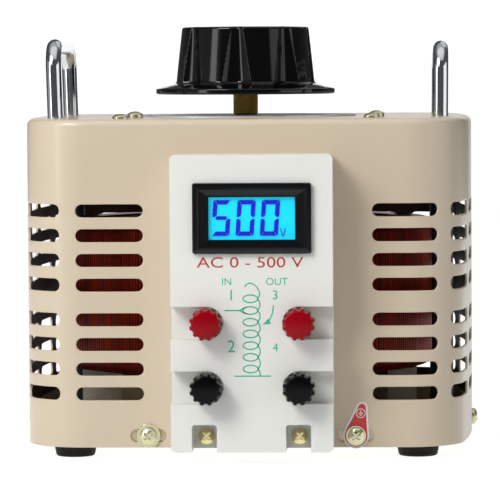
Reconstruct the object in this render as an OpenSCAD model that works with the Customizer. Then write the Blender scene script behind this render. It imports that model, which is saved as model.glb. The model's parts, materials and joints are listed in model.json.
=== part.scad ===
// Bench variable autotransformer: a toroidal winding swept by a carbon brush, in a vented steel
// housing with carrying handles and a front terminal board. Millimetres, +Z up, front towards -Y.
// The origin is on the floor, under the middle of the overall size.

/* [Cover] */
// Largest width of the cover, at the middle of its bowed sides
cover_w = 231; // [225:1:245]
// Depth of the cover, front to back
cover_d = 200; // [196:1:210]
// Height of the cover
cover_h = 164.5; // [160:0.5:180]
// Height of the cover's lower edge above the floor
cover_z = 6.5; // [6:0.5:10]
// Thickness of the cover's sheet
sheet = 1.2; // [0.8:0.1:2]
// Radius of the upright corners
corner_r = 30; // [26:1:34]
// Radius of the bowed sides
bow_r = 520; // [450:10:700]
// Rounding of the top edge
edge_r = 3.5; // [3:0.5:6]

/* [Vents] */
// Length of one slot along the sheet
slot_l = 34; // [28:1:36]
// Height of one slot
slot_h = 6.5; // [5:0.5:7]
// Distance between slot columns along the sheet
slot_pitch = 42.7; // [40:0.1:46]
// Distance between slot rows
row_pitch = 12.4; // [11:0.05:13]
// Height of the highest row's middle
row_top_z = 125.35; // [120:0.05:135]
// Extra distance between the upper and lower four rows
group_gap = 5; // [3:0.5:8]
// Inner end of the first column left of the board
slots_left = 50.2; // [46:0.1:52]
// Inner end of the first column right of the board
slots_right = 64.4; // [60:0.1:66]

/* [Terminal board] */
// Width of the board
board_w = 80.4; // [76:0.2:86]
// Height of the board
board_h = 147.2; // [140:0.2:150]
// How far the board stands out from the cover
board_t = 24; // [20:1:28]
// Sideways offset of the board from the cover's middle
board_x = 5; // [0:0.5:8]
// Thickness of the board's walls
board_wall = 2.5; // [2:0.25:3]
// Half the distance between the left and the right binding posts
post_dx = 22.9; // [20:0.1:25]
// Heights of the upper and lower binding posts
post_z = [70.6, 38.6];
// Diameter of a binding-post cap
cap_d = 16.2; // [14:0.2:18]
// How far a cap stands out from the board
cap_out = 13; // [10:0.5:15]
// Height of a wire channel
channel_h = 16.4; // [15:0.2:17]
// Depth of a wire channel
channel_t = 9; // [7:0.5:10]

/* [Meter] */
// Width of the meter's bezel
meter_w = 58.8; // [55:0.2:62]
// Height of the meter's bezel
meter_h = 35; // [32:0.2:38]
// Height of the meter's middle
meter_z = 122.4; // [118:0.2:128]

/* [Coil] */
// Outer diameter of the winding
coil_od = 195; // [184:1:196]
// Inner diameter of the winding
coil_id = 96; // [90:1:100]
// Height of the winding
coil_h = 76; // [70:1:80]
// Height of the winding's underside
coil_z = 41; // [38:1:44]

/* [Shaft and knob] */
// Sideways offset of the shaft from the cover's middle
shaft_x = -2.8; // [-4:0.1:4]
// Diameter of the shaft
shaft_d = 10; // [8:1:12]
// Diameter of the knob's skirt
knob_d = 94; // [80:1:100]
// Height of the knob's underside
knob_z = 182.6; // [180:0.2:186]
// Height of the knob
knob_h = 35.6; // [30:0.1:38]
// Number of flutes round the knob
flutes = 8; // [6:1:10]

/* [Handles and feet] */
// Diameter of the handle rod
rod_d = 8; // [7:0.5:10]
// Heights of the left and the right handle above the cover
handle_h = [40.7, 38.8];
// Distance between a handle's two legs
handle_l = 88; // [80:1:110]
// Sideways distance of the handles from the cover's middle
handle_x = 99; // [97:0.2:99]
// Outward lean of the left and the right handle, in degrees
handle_lean = [1.6, 0.5];
// Diameter of a foot at its top
foot_d = 22; // [18:1:26]
// Sideways distance of the feet from the cover's middle
foot_x = 87; // [80:1:90]
// Distance of the feet from the cover's middle, front and back
foot_y = 75; // [70:1:78]

/* [Hidden] */

$fn = 64;
EPS = 0.01;

half_w = cover_w / 2;
half_d = cover_d / 2;
top_z = cover_z + cover_h;
// The cover's middle lies behind the origin, because the board and its caps stand out in front
middle_y = (board_t + cap_out) / 2;

// The plan of the cover: flats in front and behind, four corner arcs, two bowed sides
corner_y = half_d - corner_r;
bow_x = half_w - bow_r;
bow_angle = asin(corner_y / bow_r);
// The corner arcs end a hair inside the bowed sides, on a round number, so that faces never
// lie almost on each other
corner_x = floor(10 * (bow_x + bow_r * cos(bow_angle) - corner_r)) / 10 - 0.05;
corner_l = corner_r * PI / 2;
bow_l = 2 * bow_r * bow_angle * PI / 180;
half_loop = 2 * corner_x + 2 * corner_l + bow_l;

beige = "#D0C0A6";
board_white = "#E4E4DE";
zinc = "#D9D2A0";
brass = "#B59A45";
copper = "#8A4A22";
steel = "#8E9194";

rim_gap = 0.15;
tray_sheet = 1.5;
tray_h = 15;
screw_z = 12.5;
// Places of the two lower front screws, and of the board's screws, across the front
front_screw_x = [-48, 56];
board_screw_x = [board_x - 23.7, board_x + 22.9];
// The four screws in the cover's top: sideways and depth from its middle, and the head's height
top_screw_list = [[-63.3, -72, 2.5], [64, -72, 2.5], [-58.1, -40, 3.3], [66.3, -40, 3.3]];
// Places of the four tie pillars, from the cover's middle
pillar_xy = [[-91.4, -66], [101.5, -66], [-97.4, 66], [97.4, 66]];
// Sideways offset of the posts and of the meter from the board's middle
post_mid = 0.5;
meter_mid = 0.4;
frame_t = 3;
frame_z = top_z - sheet - frame_t;
track_t = 0.8;
track_z = coil_z + coil_h;
stop_r = 26;
arm_z = 144;
arm_t = 5;
// Extra bore of what is fixed to the shaft
fit_gap = 0.04;
post_list = [[-1, 0], [-1, 1], [1, 0], [1, 1]];

// ---------- shared shapes ----------

// A screw head along +Z: a shallow dome with a cross recess, on a plain shank that points down
module pan_screw(head_d, head_h, shank_d, shank_l) {
    difference() {
        union() {
            rotate_extrude() intersection() {
                square([head_d / 2, head_h]);
                translate([0, head_h - head_d * 0.75]) circle(head_d * 0.75, $fn = 96);
            }
            translate([0, 0, -shank_l]) cylinder(d = shank_d, h = shank_l + EPS);
        }
        for (a = [45, 135]) rotate(a)
            translate([-head_d * 0.29, -head_d * 0.07, head_h * 0.4])
                cube([head_d * 0.58, head_d * 0.14, head_h]);
    }
}

// A flat washer that lies on z = 0
module washer(od, id, t) {
    difference() {
        cylinder(d = od, h = t);
        translate([0, 0, -EPS]) cylinder(d = id, h = t + 2 * EPS);
    }
}

// A ring of rectangular section round the Z axis
module ring(r_out, r_in, z, h) {
    translate([0, 0, z]) rotate_extrude($fn = 128) translate([r_in, 0]) square([r_out - r_in, h]);
}

// A round bar between two points
module bar(a, b, d) {
    v = b - a;
    l = norm(v);
    translate(a) rotate([0, acos(v.z / l), atan2(v.y, v.x)]) cylinder(d = d, h = l);
}

// A coil spring on z = 0 with n facets along its wire and m round it
module spring(r, wire_r, h, turns, n = 72, m = 8) {
    points = [for (i = [0 : n], j = [0 : m - 1])
        let (a = 360 * turns * i / n, b = 360 * j / m, q = r + wire_r * cos(b))
        [q * cos(a), q * sin(a), wire_r + (h - 2 * wire_r) * i / n + wire_r * sin(b)]];
    sides = [for (i = [0 : n - 1], j = [0 : m - 1])
        let (k = (j + 1) % m) [i * m + j, (i + 1) * m + j, (i + 1) * m + k, i * m + k]];
    ends = [[for (j = [0 : m - 1]) j], [for (j = [m - 1 : -1 : 0]) n * m + j]];
    polyhedron(points, concat(sides, ends));
}

// A round wire through a list of points, with a ball at every bend
module wire(points, d) {
    for (i = [1 : len(points) - 1]) bar(points[i - 1], points[i], d);
    for (i = [1 : len(points) - 2]) translate(points[i]) sphere(d = d + 0.5);
}

// Turns its children so that their +Z looks out of the front
module facing_front() {
    rotate([90, 0, 0]) children();
}

// A prism on z = 0 whose section has two half-round ends
module obround(l, w, t) {
    linear_extrude(t) union() {
        square([l - w, w], center = true);
        for (side = [-1, 1]) translate([side * (l - w) / 2, 0]) circle(d = w);
    }
}

// A box standing on z = 0 whose upright corners are rounded
module rounded_box(size, r) {
    x = size.x / 2 - r;
    y = size.y / 2 - r;
    linear_extrude(size.z) union() {
        square([size.x - 2 * r, size.y], center = true);
        square([size.x, size.y - 2 * r], center = true);
        for (sx = [-1, 1], sy = [-1, 1]) translate([sx * x, sy * y]) circle(r);
    }
}

// ---------- the cover's solid ----------

// Half of a vertical section: a rectangle from r0 to r1 whose top outer corner is rounded
module edge_profile(r0, r1, h, er) {
    translate([r0, 0]) square([r1 - r0 - er, h]);
    translate([r0, 0]) square([r1 - r0, h - er]);
    translate([r1 - er, h - er]) circle(er);
}

// The cover's outline as a solid of height h, moved inwards by inset, its top edge rounded by er
module cover_solid(inset, h, er) {
    for (sx = [0, 1]) mirror([sx, 0, 0]) {
        for (sy = [0, 1]) mirror([0, sy, 0]) translate([corner_x, corner_y, 0])
            rotate_extrude(angle = 90, $fn = 128) edge_profile(0, corner_r - inset, h, er);
        intersection() {
            translate([bow_x, 0, 0]) rotate(-10) rotate_extrude(angle = 20, $fn = 720)
                edge_profile(bow_r - 2 * corner_r, bow_r - inset, h, er);
            translate([0, -corner_y, -EPS]) cube([cover_w, 2 * corner_y, h + 2 * EPS]);
        }
    }
    for (sy = [0, 1]) mirror([0, sy, 0]) rotate([90, 0, 90])
        translate([0, 0, -corner_x]) linear_extrude(2 * corner_x)
            edge_profile(0, half_d - inset, h, er);
}

// Start lengths of the stretches of the outline, from the middle of the front towards one side
stretch = [0, corner_x, corner_x + corner_l, corner_x + corner_l + bow_l,
           corner_x + 2 * corner_l + bow_l, half_loop];

// Point and outward direction [x, y, angle] at length s along the right half of the outline
function outline_at(s) =
    s < stretch[1] ? [s, -half_d, -90] :
    s < stretch[2] ? on_corner(-90 + (s - stretch[1]) / corner_r * 180 / PI, -1) :
    s < stretch[3] ? on_bow(-bow_angle + (s - stretch[2]) / bow_r * 180 / PI) :
    s < stretch[4] ? on_corner(bow_angle + (s - stretch[3]) / corner_r * 180 / PI, 1) :
    [half_loop - s, half_d, 90];
function on_corner(a, side) =
    [corner_x + corner_r * cos(a), side * corner_y + corner_r * sin(a), a];
function on_bow(a) = [bow_x + bow_r * cos(a), bow_r * sin(a), a];

// One slot from length s0 to s1 along the right half of the outline: a straight cut across its chord
module slot(s0, s1, h) {
    p = outline_at(s0);
    q = outline_at(s1);
    chord = [q.x - p.x, q.y - p.y];
    translate([(p.x + q.x) / 2, (p.y + q.y) / 2, 0]) rotate([90, 0, atan2(chord.y, chord.x)])
        translate([0, 0, -8]) obround(norm(chord), h, 16);
}

function row_z(row) = row_top_z - row * row_pitch - (row > 3 ? group_gap : 0);

module slot_columns(first, count) {
    for (i = [0 : count - 1], row = [0 : 7])
        translate([0, 0, row_z(row)])
            slot(first + i * slot_pitch, first + i * slot_pitch + slot_l, slot_h);
}

// The obround openings of the two lower front screws
module front_screw_slots() {
    for (x = front_screw_x) translate([x, -half_d, screw_z]) facing_front()
        translate([0, 0, -4]) obround(18, 6.5, 8);
}

// ---------- housing ----------

module housing_cover() color(beige) {
    difference() {
        translate([0, 0, cover_z]) cover_solid(0, cover_h, edge_r);
        translate([0, 0, cover_z - EPS]) cover_solid(sheet, cover_h - sheet + EPS, edge_r - sheet);
        slot_columns(slots_right, 8);
        mirror([1, 0, 0]) slot_columns(slots_left, 8);
        front_screw_slots();
        translate([board_x - 32, -half_d - 4, 24]) cube([64, 8, 118]);
        for (x = board_screw_x) translate([x, -half_d, screw_z]) facing_front()
            cylinder(d = 4.2, h = 8, center = true);
        for (side = [-1, 1]) translate([side * half_w, 0, screw_z]) rotate([0, 90, 0])
            cylinder(d = 4.2, h = 8, center = true);
        top_holes(top_z - 4, 8);
    }
}

// Holes for the shaft bush, the top screws and the handle legs, cut through whatever lies at z
module top_holes(z, h) {
    translate([shaft_x, 0, z]) cylinder(d = 18, h = h);
    for (p = top_screw_list) translate([p.x, p.y, z]) cylinder(d = 4.2, h = h);
    for (sx = [-1, 1], sy = [-1, 1])
        translate([sx * handle_x, sy * handle_l / 2, z]) cylinder(d = rod_d + 1.2, h = h);
}

// The tray: a floor with an upturned rim inside the cover
module base_plate() color(steel) {
    difference() {
        translate([0, 0, cover_z]) cover_solid(sheet + rim_gap, tray_h + 1, 0.5);
        translate([0, 0, cover_z + tray_sheet])
            cover_solid(sheet + rim_gap + tray_sheet, tray_h + 2, 0.5);
        translate([-cover_w, -cover_d, cover_z + tray_h]) cube([2 * cover_w, 2 * cover_d, 5]);
        for (x = concat(front_screw_x, board_screw_x)) translate([x, -half_d, screw_z]) facing_front()
            cylinder(d = 4, h = 12, center = true);
        for (side = [-1, 1]) translate([side * half_w, 0, screw_z]) rotate([0, 90, 0])
            cylinder(d = 4, h = 12, center = true);
        for (sx = [-1, 1], sy = [-1, 1]) translate([sx * foot_x, sy * foot_y, 0]) cylinder(d = 4, h = 20);
        at_hub_bolts() translate([0, 0, cover_z - 1]) cylinder(d = 6, h = 5);
    }
}

module foot(sx, sy) color("#1B1B1C") {
    translate([sx * foot_x, sy * foot_y, 0]) difference() {
        rotate_extrude() union() {
            polygon([[0, 1.5], [foot_d / 2 - 1, 1.5], [foot_d / 2, cover_z], [0, cover_z]]);
            square([foot_d / 2 - 2.5, 2]);
            translate([foot_d / 2 - 2.5, 1.5]) circle(1.5);
        }
        translate([0, 0, -EPS]) cylinder(d = 10, h = 3);
        cylinder(d = 4, h = cover_z + 1);
    }
}
module foot_front_left() foot(-1, -1);
module foot_front_right() foot(1, -1);
module foot_rear_left() foot(-1, 1);
module foot_rear_right() foot(1, 1);

module foot_screws() color(zinc) {
    for (sx = [-1, 1], sy = [-1, 1]) translate([sx * foot_x, sy * foot_y, 3 - EPS])
        mirror([0, 0, 1]) pan_screw(8, 2.2, 4, 9);
}

// ---------- handles and top ----------

// Turns its children with a handle, round the line where its legs enter the cover
module leaning(side) {
    translate([side * handle_x, 0, top_z]) rotate([0, side * handle_lean[side < 0 ? 0 : 1], 0]) children();
}

module handle(side) color("#C9CDD0") leaning(side) {
    bend = 12;
    y = handle_l / 2;
    axis_z = handle_h[side < 0 ? 0 : 1] - rod_d / 2;
    for (sy = [0, 1]) mirror([0, sy, 0]) {
        translate([0, y, -13]) cylinder(d = rod_d, h = axis_z - bend + 13);
        translate([0, y - bend, axis_z - bend]) rotate([90, 0, 90])
            rotate_extrude(angle = 90) translate([bend, 0]) circle(d = rod_d);
    }
    translate([0, bend - y, axis_z]) rotate([-90, 0, 0])
        cylinder(d = rod_d, h = handle_l - 2 * bend);
}
module handle_left() handle(-1);
module handle_right() handle(1);

module handle_nuts() color(zinc) {
    for (side = [-1, 1]) leaning(side) for (sy = [-1, 1])
        translate([0, sy * handle_l / 2, -sheet - frame_t - 7.2]) difference() {
            cylinder(d = 14, h = 6.5, $fn = 6);
            translate([0, 0, -EPS]) cylinder(d = rod_d + 0.1, h = 7);
        }
}

// The flat frame under the cover's top, slotted for air
module top_frame() color(steel) {
    difference() {
        translate([-105, -78, frame_z]) cube([210, 156, frame_t]);
        for (x = [-43, 43], y = [-54, -20, 20, 54])
            translate([x - 29, y - 6, frame_z - 1]) cube([58, 12, 5]);
        top_holes(frame_z - 1, 5);
        for (p = pillar_xy) translate([p.x, p.y, frame_z - 1]) cylinder(d = 4, h = 5);
    }
}

module tie_pillars() color("#3A3C3E") {
    z0 = cover_z + tray_sheet;
    for (p = pillar_xy) translate([p.x, p.y, z0]) cylinder(d = 7, h = frame_z - z0);
}

module top_screws() color(zinc) {
    for (p = top_screw_list) translate([p.x, p.y, top_z]) pan_screw(8.1, p.z, 4, 9);
}

// A thin round plate with a scale of 25 ticks, round the shaft
module dial_plate() color("#C4C7C8") {
    translate([shaft_x, 0, top_z]) difference() {
        cylinder(r = 58, h = 0.6, $fn = 160);
        translate([0, 0, -1]) cylinder(d = 18, h = 3);
        for (i = [0 : 25]) rotate(247.5 - i * 12.6)
            translate([i % 5 == 0 ? 53.4 : 55, -0.3, 0.3]) cube([i % 5 == 0 ? 3.6 : 2, 0.6, 1]);
    }
}

// ---------- front fasteners ----------

module cover_screws() color(zinc) {
    for (side = [-1, 1]) translate([side * half_w, 0, screw_z]) rotate([0, side * 90, 0])
        pan_screw(8.3, 3, 4, 8);
    translate([front_screw_x[0], -half_d - 1, screw_z]) facing_front() pan_screw(8.3, 3.2, 4, 8);
}

module cover_washers() color(zinc) {
    translate([front_screw_x[0], -half_d, screw_z]) facing_front() washer(12, 4.2, 1);
    translate([front_screw_x[1], -half_d - 0.6, screw_z]) facing_front() washer(10, 4.2, 1);
}

module ground_screw() color(zinc) {
    translate([front_screw_x[1], -half_d - 1.6, screw_z]) facing_front() pan_screw(8.3, 3.2, 4, 9);
}

// The teardrop tag that marks the earth connection
module ground_tag() color("#C81414") {
    translate([front_screw_x[1], -half_d, screw_z]) facing_front() difference() {
        linear_extrude(0.6) hull() {
            circle(6.5);
            translate([3, 14]) circle(2.8);
        }
        translate([0, 0, -1]) cylinder(d = 4.2, h = 3);
    }
}

// ---------- terminal board ----------

// Turns its children into the board's own frame: x from its middle, y up, z out of the cover
module on_board() {
    translate([board_x, -half_d, 0]) facing_front() children();
}

// Moves its children to post p, a side and a row, at height z out of the cover
module at_post(p, z = 0) {
    translate([post_mid + p[0] * post_dx, post_z[p[1]], z]) children();
}

// One wire channel: a round end at the post, open at the board's side; grow widens it
module channel(p, grow) {
    depth = channel_t + grow;
    at_post(p, board_t - depth) {
        cylinder(d = channel_h + 2 * grow, h = depth + 1);
        translate([p[0] > 0 ? 0 : -board_w / 2, -channel_h / 2 - grow, 0])
            cube([board_w / 2, channel_h + 2 * grow, depth + 1]);
    }
}

module board_block(inset) {
    translate([0, cover_z + board_h / 2, 0])
        rounded_box([board_w - 2 * inset, board_h - 2 * inset, board_t - inset], max(2.5 - inset, 0.4));
}

// A screw pocket at the board's lower edge, open downwards, from height z to beyond the board
module notch(x, grow, z) {
    translate([x - board_x, cover_z, z]) {
        translate([0, 7.5, 0]) rounded_box([12.4 + 2 * grow, 12.4 + 2 * grow, board_t + 2], 1.5 + grow);
        translate([-6.2 - grow, -1, 0]) cube([12.4 + 2 * grow, 8, board_t + 2]);
    }
}

module terminal_board() color(board_white) on_board() {
    difference() {
        union() {
            difference() {
                board_block(0);
                translate([0, 0, -EPS]) board_block(board_wall);
            }
            intersection() {
                board_block(0);
                union() {
                    for (p = post_list) channel(p, board_wall);
                    for (x = board_screw_x) notch(x, 1.6, 0);
                }
            }
        }
        for (p = post_list) {
            channel(p, 0);
            at_post(p) cylinder(d = 6.2, h = board_t);
        }
        for (x = board_screw_x) {
            notch(x, 0, 2);
            translate([x - board_x, screw_z, -1]) cylinder(d = 4.2, h = 5);
        }
        translate([meter_mid - 27, meter_z - 15.5, board_t - 10]) cube([54, 31, 20]);
    }
}

module board_screws() color("#C9B25A") on_board() {
    for (x = board_screw_x) translate([x - board_x, screw_z, 2]) pan_screw(8, 2.8, 4, 10);
}

module terminal_studs() color(brass) on_board() {
    for (p = post_list) at_post(p) {
        translate([0, 0, 2]) cylinder(d = 6, h = board_t + 6);
        translate([0, 0, board_t - channel_t]) cylinder(d = 12, h = 1);
    }
}

module terminal_nuts() color(brass) on_board() {
    for (p = post_list) at_post(p, board_t - channel_t - board_wall - 5) difference() {
        cylinder(d = 11.5, h = 5, $fn = 6);
        translate([0, 0, -EPS]) cylinder(d = 6.1, h = 6);
    }
}

// A scalloped cap with a neck that reaches into the channel, in the board's frame
module cap(p, colour) color(colour) on_board()
    at_post(p) difference() {
        union() {
            translate([0, 0, board_t - channel_t + 2.4]) cylinder(d = 12.4, h = channel_t);
            translate([0, 0, board_t + 0.3]) cylinder(d = cap_d, h = cap_out - 1.8);
            translate([0, 0, board_t + 0.3 + cap_out - 1.8]) cylinder(d1 = cap_d, d2 = cap_d - 3, h = 1.5);
        }
        for (i = [0 : 11]) rotate(i * 30 + 15)
            translate([cap_d / 2 + 1.1, 0, board_t + 0.2]) cylinder(d = 4, h = cap_out);
        translate([0, 0, board_t - channel_t]) cylinder(d = 6.1, h = channel_t + 9);
    }
module input_line_cap() cap([-1, 0], "#B80D1E");
module input_neutral_cap() cap([-1, 1], "#141414");
module output_line_cap() cap([1, 0], "#B80D1E");
module output_neutral_cap() cap([1, 1], "#141414");

// The loose washer that a cap presses on the wire
module clamp_washer(p) color(brass) on_board()
    at_post(p, board_t - channel_t + 1.1) washer(12, 6.1, 1.2);
module input_line_washer() clamp_washer([-1, 0]);
module input_neutral_washer() clamp_washer([-1, 1]);
module output_line_washer() clamp_washer([1, 0]);
module output_neutral_washer() clamp_washer([1, 1]);

// ---------- meter ----------

module on_meter() {
    on_board() translate([meter_mid, meter_z, board_t]) children();
}

module meter_bezel() color("#101112") on_meter() difference() {
    union() {
        rounded_box([meter_w, meter_h, 1.6], 1.2);
        rounded_box([meter_w - 1.6, meter_h - 1.6, 2.5], 0.8);
    }
    translate([-26.5, -14.25, 1.2]) cube([53, 28.5, 5]);
    translate([-21.35, -10.5, -1]) cube([42.7, 21, 5]);
}

module meter_case() color("#1C1D1F") on_meter() difference() {
    translate([-26.5, -15, -18]) cube([53, 30, 18]);
    translate([-24.5, -13, -16]) cube([49, 26, 17]);
}

module meter_window() color("#D8F4FA", 0.4) on_meter()
    translate([-21.3, -10.45, 0.4]) cube([42.6, 20.9, 0.7]);

module display_panel() color("#00E0FA") on_meter() translate([-24, -12.5, -2.5]) cube([48, 25, 2]);

// The seven bars of one digit, as [x, y, upright]
bars = [
    [0, 8.4, 0], [4.2, 4.2, 1], [4.2, -4.2, 1], [0, -8.4, 0], [-4.2, -4.2, 1], [-4.2, 4.2, 1], [0, 0, 0]
];
five = [0, 2, 3, 5, 6];
zero = [0, 1, 2, 3, 4, 5];

module digit(lit) {
    for (i = lit) {
        b = bars[i];
        size = b[2] ? [2, 7.2] : [6.4, 2];
        translate([b.x + b.y * 0.12, b.y]) square(size, center = true);
    }
}

module display_digits() color("#0F0AC8") on_meter() translate([0, 0, -0.5]) linear_extrude(0.3) {
    translate([-14.6, 0]) digit(five);
    translate([-3, 0]) digit(zero);
    translate([8.6, 0]) digit(zero);
}

// ---------- coil ----------

module on_shaft() {
    translate([shaft_x, 0, 0]) children();
}

// A closed ring shell of thickness t whose outer surface stands back by inset from the winding's
module coil_shell(inset, t) {
    wall = (coil_od - coil_id) / 2;
    translate([0, 0, coil_z + inset]) rotate_extrude($fn = 160) difference() {
        translate([coil_id / 2 + inset, 0]) square([wall - 2 * inset, coil_h - 2 * inset]);
        translate([coil_id / 2 + inset + t, t])
            square([wall - 2 * inset - 2 * t, coil_h - 2 * inset - 2 * t]);
    }
}

module core() color("#5A5C60") on_shaft()
    ring(coil_od / 2 - 5.2, coil_id / 2 + 5.2, coil_z + 5.2, coil_h - 10.4);
module core_insulation() color("#C8B48A") on_shaft() coil_shell(3.2, 1.9);
module winding() color(copper) on_shaft() coil_shell(0, 3.1);
module contact_track() color("#C87A45") on_shaft() ring(coil_od / 2 - 3, coil_od / 2 - 17, track_z, track_t);

module coil_supports() color("#D5D0C4") {
    z0 = cover_z + tray_sheet;
    for (sx = [-1, 1], sy = [-1, 1]) translate([sx * 79 - 7.5, 0, z0]) mirror([0, sy > 0 ? 0 : 1, 0])
        translate([0, 34, 0]) {
            cube([15, 22, 2]);
            cube([15, 3, coil_z - z0]);
            translate([0, -12, coil_z - z0 - 3]) cube([15, 15, 3]);
        }
}

module at_hub_bolts() {
    for (a = [30, 150, 270]) on_shaft() rotate(a) translate([42, 0, 0]) children();
}

module centre_hub() color("#A9ADB0") on_shaft() difference() {
    union() {
        translate([0, 0, cover_z + tray_sheet]) cylinder(d = 50, h = 5);
        translate([0, 0, cover_z + tray_sheet]) cylinder(d = 36, h = track_z - cover_z - tray_sheet);
    }
    cylinder(d = 20, h = 30);
    cylinder(d = 14, h = 200);
}

module clamp_disc(z, hole) {
    difference() {
        on_shaft() translate([0, 0, z]) cylinder(r = 56, h = 3);
        on_shaft() translate([0, 0, z - 1]) cylinder(d = hole, h = 5);
        at_hub_bolts() translate([0, 0, z - 1]) cylinder(d = 6, h = 5);
    }
}
module lower_clamp_disc() color("#A9ADB0") clamp_disc(coil_z - 3, 36.2);
module upper_clamp_disc() color("#A9ADB0") clamp_disc(track_z, 14);

module hub_bolts() color(zinc) at_hub_bolts() {
    translate([0, 0, cover_z]) cylinder(d = 5.9, h = track_z + 4 - cover_z);
    translate([0, 0, track_z + 3]) cylinder(d = 11, h = 4, $fn = 6);
}

module lower_bush() color(brass) on_shaft() difference() {
    translate([0, 0, cover_z + tray_sheet]) cylinder(d = 20, h = 18);
    translate([0, 0, cover_z + tray_sheet + 3]) cylinder(d = shaft_d + 0.1, h = 20);
}

module upper_bush() color(brass) on_shaft() difference() {
    union() {
        translate([0, 0, frame_z - 8]) cylinder(d = 18, h = top_z - frame_z + 8);
        translate([0, 0, frame_z - 4]) cylinder(d = 26, h = 4);
    }
    translate([0, 0, frame_z - 9]) cylinder(d = shaft_d + 0.1, h = 30);
}

// A spring finger that hangs from the frame and rubs on the slip ring
module pickup_contact() color(brass) on_shaft() {
    translate([-17, -4, arm_z + arm_t + 1]) cube([2, 8, frame_z - arm_z - arm_t - 1]);
    translate([-15 - EPS, -3, arm_z + arm_t + 1.5]) cube([2.8, 6, 4]);
}

module travel_stop() color(zinc) on_shaft() translate([0, -stop_r, track_z + 3]) cylinder(d = 8, h = 15);

module output_lead() color("#B02020") wire([
    [shaft_x - 18.6, 0, frame_z - 5], [-20, -95, frame_z - 7], [-20, -95, 134], [-20, -103, 125],
    [board_x + post_dx, -104, post_z[0] + 5]
], 3);

module supply_lead() color("#222222") wire([
    [-28, -86, 39], [-24, -95, 32], [board_x - post_dx, -103.5, post_z[1] - 5]
], 3);

// ---------- rotor ----------

module shaft() color(steel) on_shaft() translate([0, 0, cover_z + tray_sheet + 3.3])
    cylinder(d = shaft_d, h = knob_z + knob_h - 6 - cover_z - tray_sheet - 3.3);

// Distance of the flutes' axes from the knob's, at the skirt
flute_r = 39;

// The knob's body of revolution, skirt included
module knob_blank() {
    rim_r = knob_d / 2;
    edge = 1.3;
    crown_r = 900;
    foot_r = 36.3;
    head_r = 33.3;
    crown = 0.6;
    rotate_extrude($fn = 128) difference() {
        union() {
            polygon([[0, 0], [rim_r - 0.5, 0], [rim_r, 0.5], [rim_r, 2.4], [rim_r - 0.6, 3],
                     [foot_r + 1.2, 5.4], [foot_r, 6.4], [head_r, knob_h - crown - edge],
                     [0, knob_h - crown - edge]]);
            translate([0, knob_h - crown - edge - 0.5]) square([head_r - edge, edge + 0.5]);
            translate([head_r - edge, knob_h - crown - edge]) circle(edge);
            intersection() {
                translate([0, knob_h - crown_r]) circle(crown_r, $fn = 1440);
                translate([0, knob_h - 5]) square([head_r - edge, 5]);
            }
        }
        translate([-knob_d, -1]) square([knob_d, knob_h + 5]);
    }
}

module control_knob() color("#0C0C0D") on_shaft() translate([0, 0, knob_z]) difference() {
    knob_blank();
    for (i = [0 : flutes - 1]) rotate(i * 360 / flutes - 95)
        translate([flute_r, 0, knob_h * 0.18]) rotate([0, -5, 0]) cylinder(d1 = 15, d2 = 8, h = knob_h);
    translate([0, 0, -1]) cylinder(d = 13.1, h = 13);
    translate([0, 0, -1]) cylinder(d = shaft_d + fit_gap, h = knob_h - 4);
    translate([0, 0, 9]) rotate([90, 0, 0]) cylinder(d = 5, h = 60);
}

module knob_bush() color(brass) on_shaft() translate([0, 0, top_z + 0.9]) difference() {
    cylinder(d = 13.1, h = knob_z + 10 - top_z - 0.9);
    translate([0, 0, -1]) cylinder(d = shaft_d + fit_gap, h = 60);
}

module knob_set_screw() color(steel) on_shaft() translate([0, 0, knob_z + 9]) rotate([90, 0, 0])
    translate([0, 0, 6.6]) cylinder(d = 5, h = 8);

module brush_arm() color("#A9ADB0") on_shaft() difference() {
    reach = brush_r + 8;
    union() {
        translate([-11, 0, arm_z]) cube([22, reach, arm_t]);
        translate([0, 0, arm_z]) cylinder(d = 28, h = arm_t);
        translate([-1.5, 22, arm_z + arm_t - EPS]) cube([3, reach - 24, 4]);
    }
    translate([0, 0, arm_z - 4]) cylinder(d = shaft_d + fit_gap, h = 15);
}

module arm_hub() color("#A9ADB0") on_shaft() difference() {
    union() {
        translate([0, 0, track_z + 6]) cylinder(d = 28, h = arm_z - track_z - 6);
        translate([0, 0, track_z + 6]) intersection() {
            cylinder(r = stop_r + 4, h = 10);
            rotate(90 - 13) wedge(26);
        }
    }
    translate([0, 0, 100]) cylinder(d = shaft_d + fit_gap, h = 60);
}

// A sector of the plane from angle 0 to a, 10 mm high
module wedge(a) {
    linear_extrude(10) polygon([[0, 0], [60, 0], [60 * cos(a), 60 * sin(a)]]);
}

module slip_ring() color(brass) on_shaft() difference() {
    translate([0, 0, arm_z + arm_t]) cylinder(d = 24, h = 6);
    translate([0, 0, arm_z + arm_t - 1]) cylinder(d = shaft_d + fit_gap, h = 10);
}

brush_r = coil_od / 2 - 10;
brush_top = track_z + track_t + 16;
holder_roof = 141;

module brush_holder() color("#B9BDBF") on_shaft() translate([0, brush_r, 0]) difference() {
    translate([-6.4, -8.4, track_z + track_t + 5]) cube([12.8, 16.8, arm_z - track_z - track_t - 5]);
    translate([-4.2, -6.2, track_z]) cube([8.4, 12.4, holder_roof - track_z]);
}

module carbon_brush() color("#2A2A2C") on_shaft()
    translate([-4.1, brush_r - 6.1, track_z + track_t + 0.2])
        cube([8.2, 12.2, brush_top - track_z - track_t - 0.2]);

module brush_spring() color(steel) on_shaft() translate([0, brush_r, brush_top + 0.02])
    spring(2.8, 0.5, holder_roof - brush_top - 0.05, 4);

// ---------- assembly ----------

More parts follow.
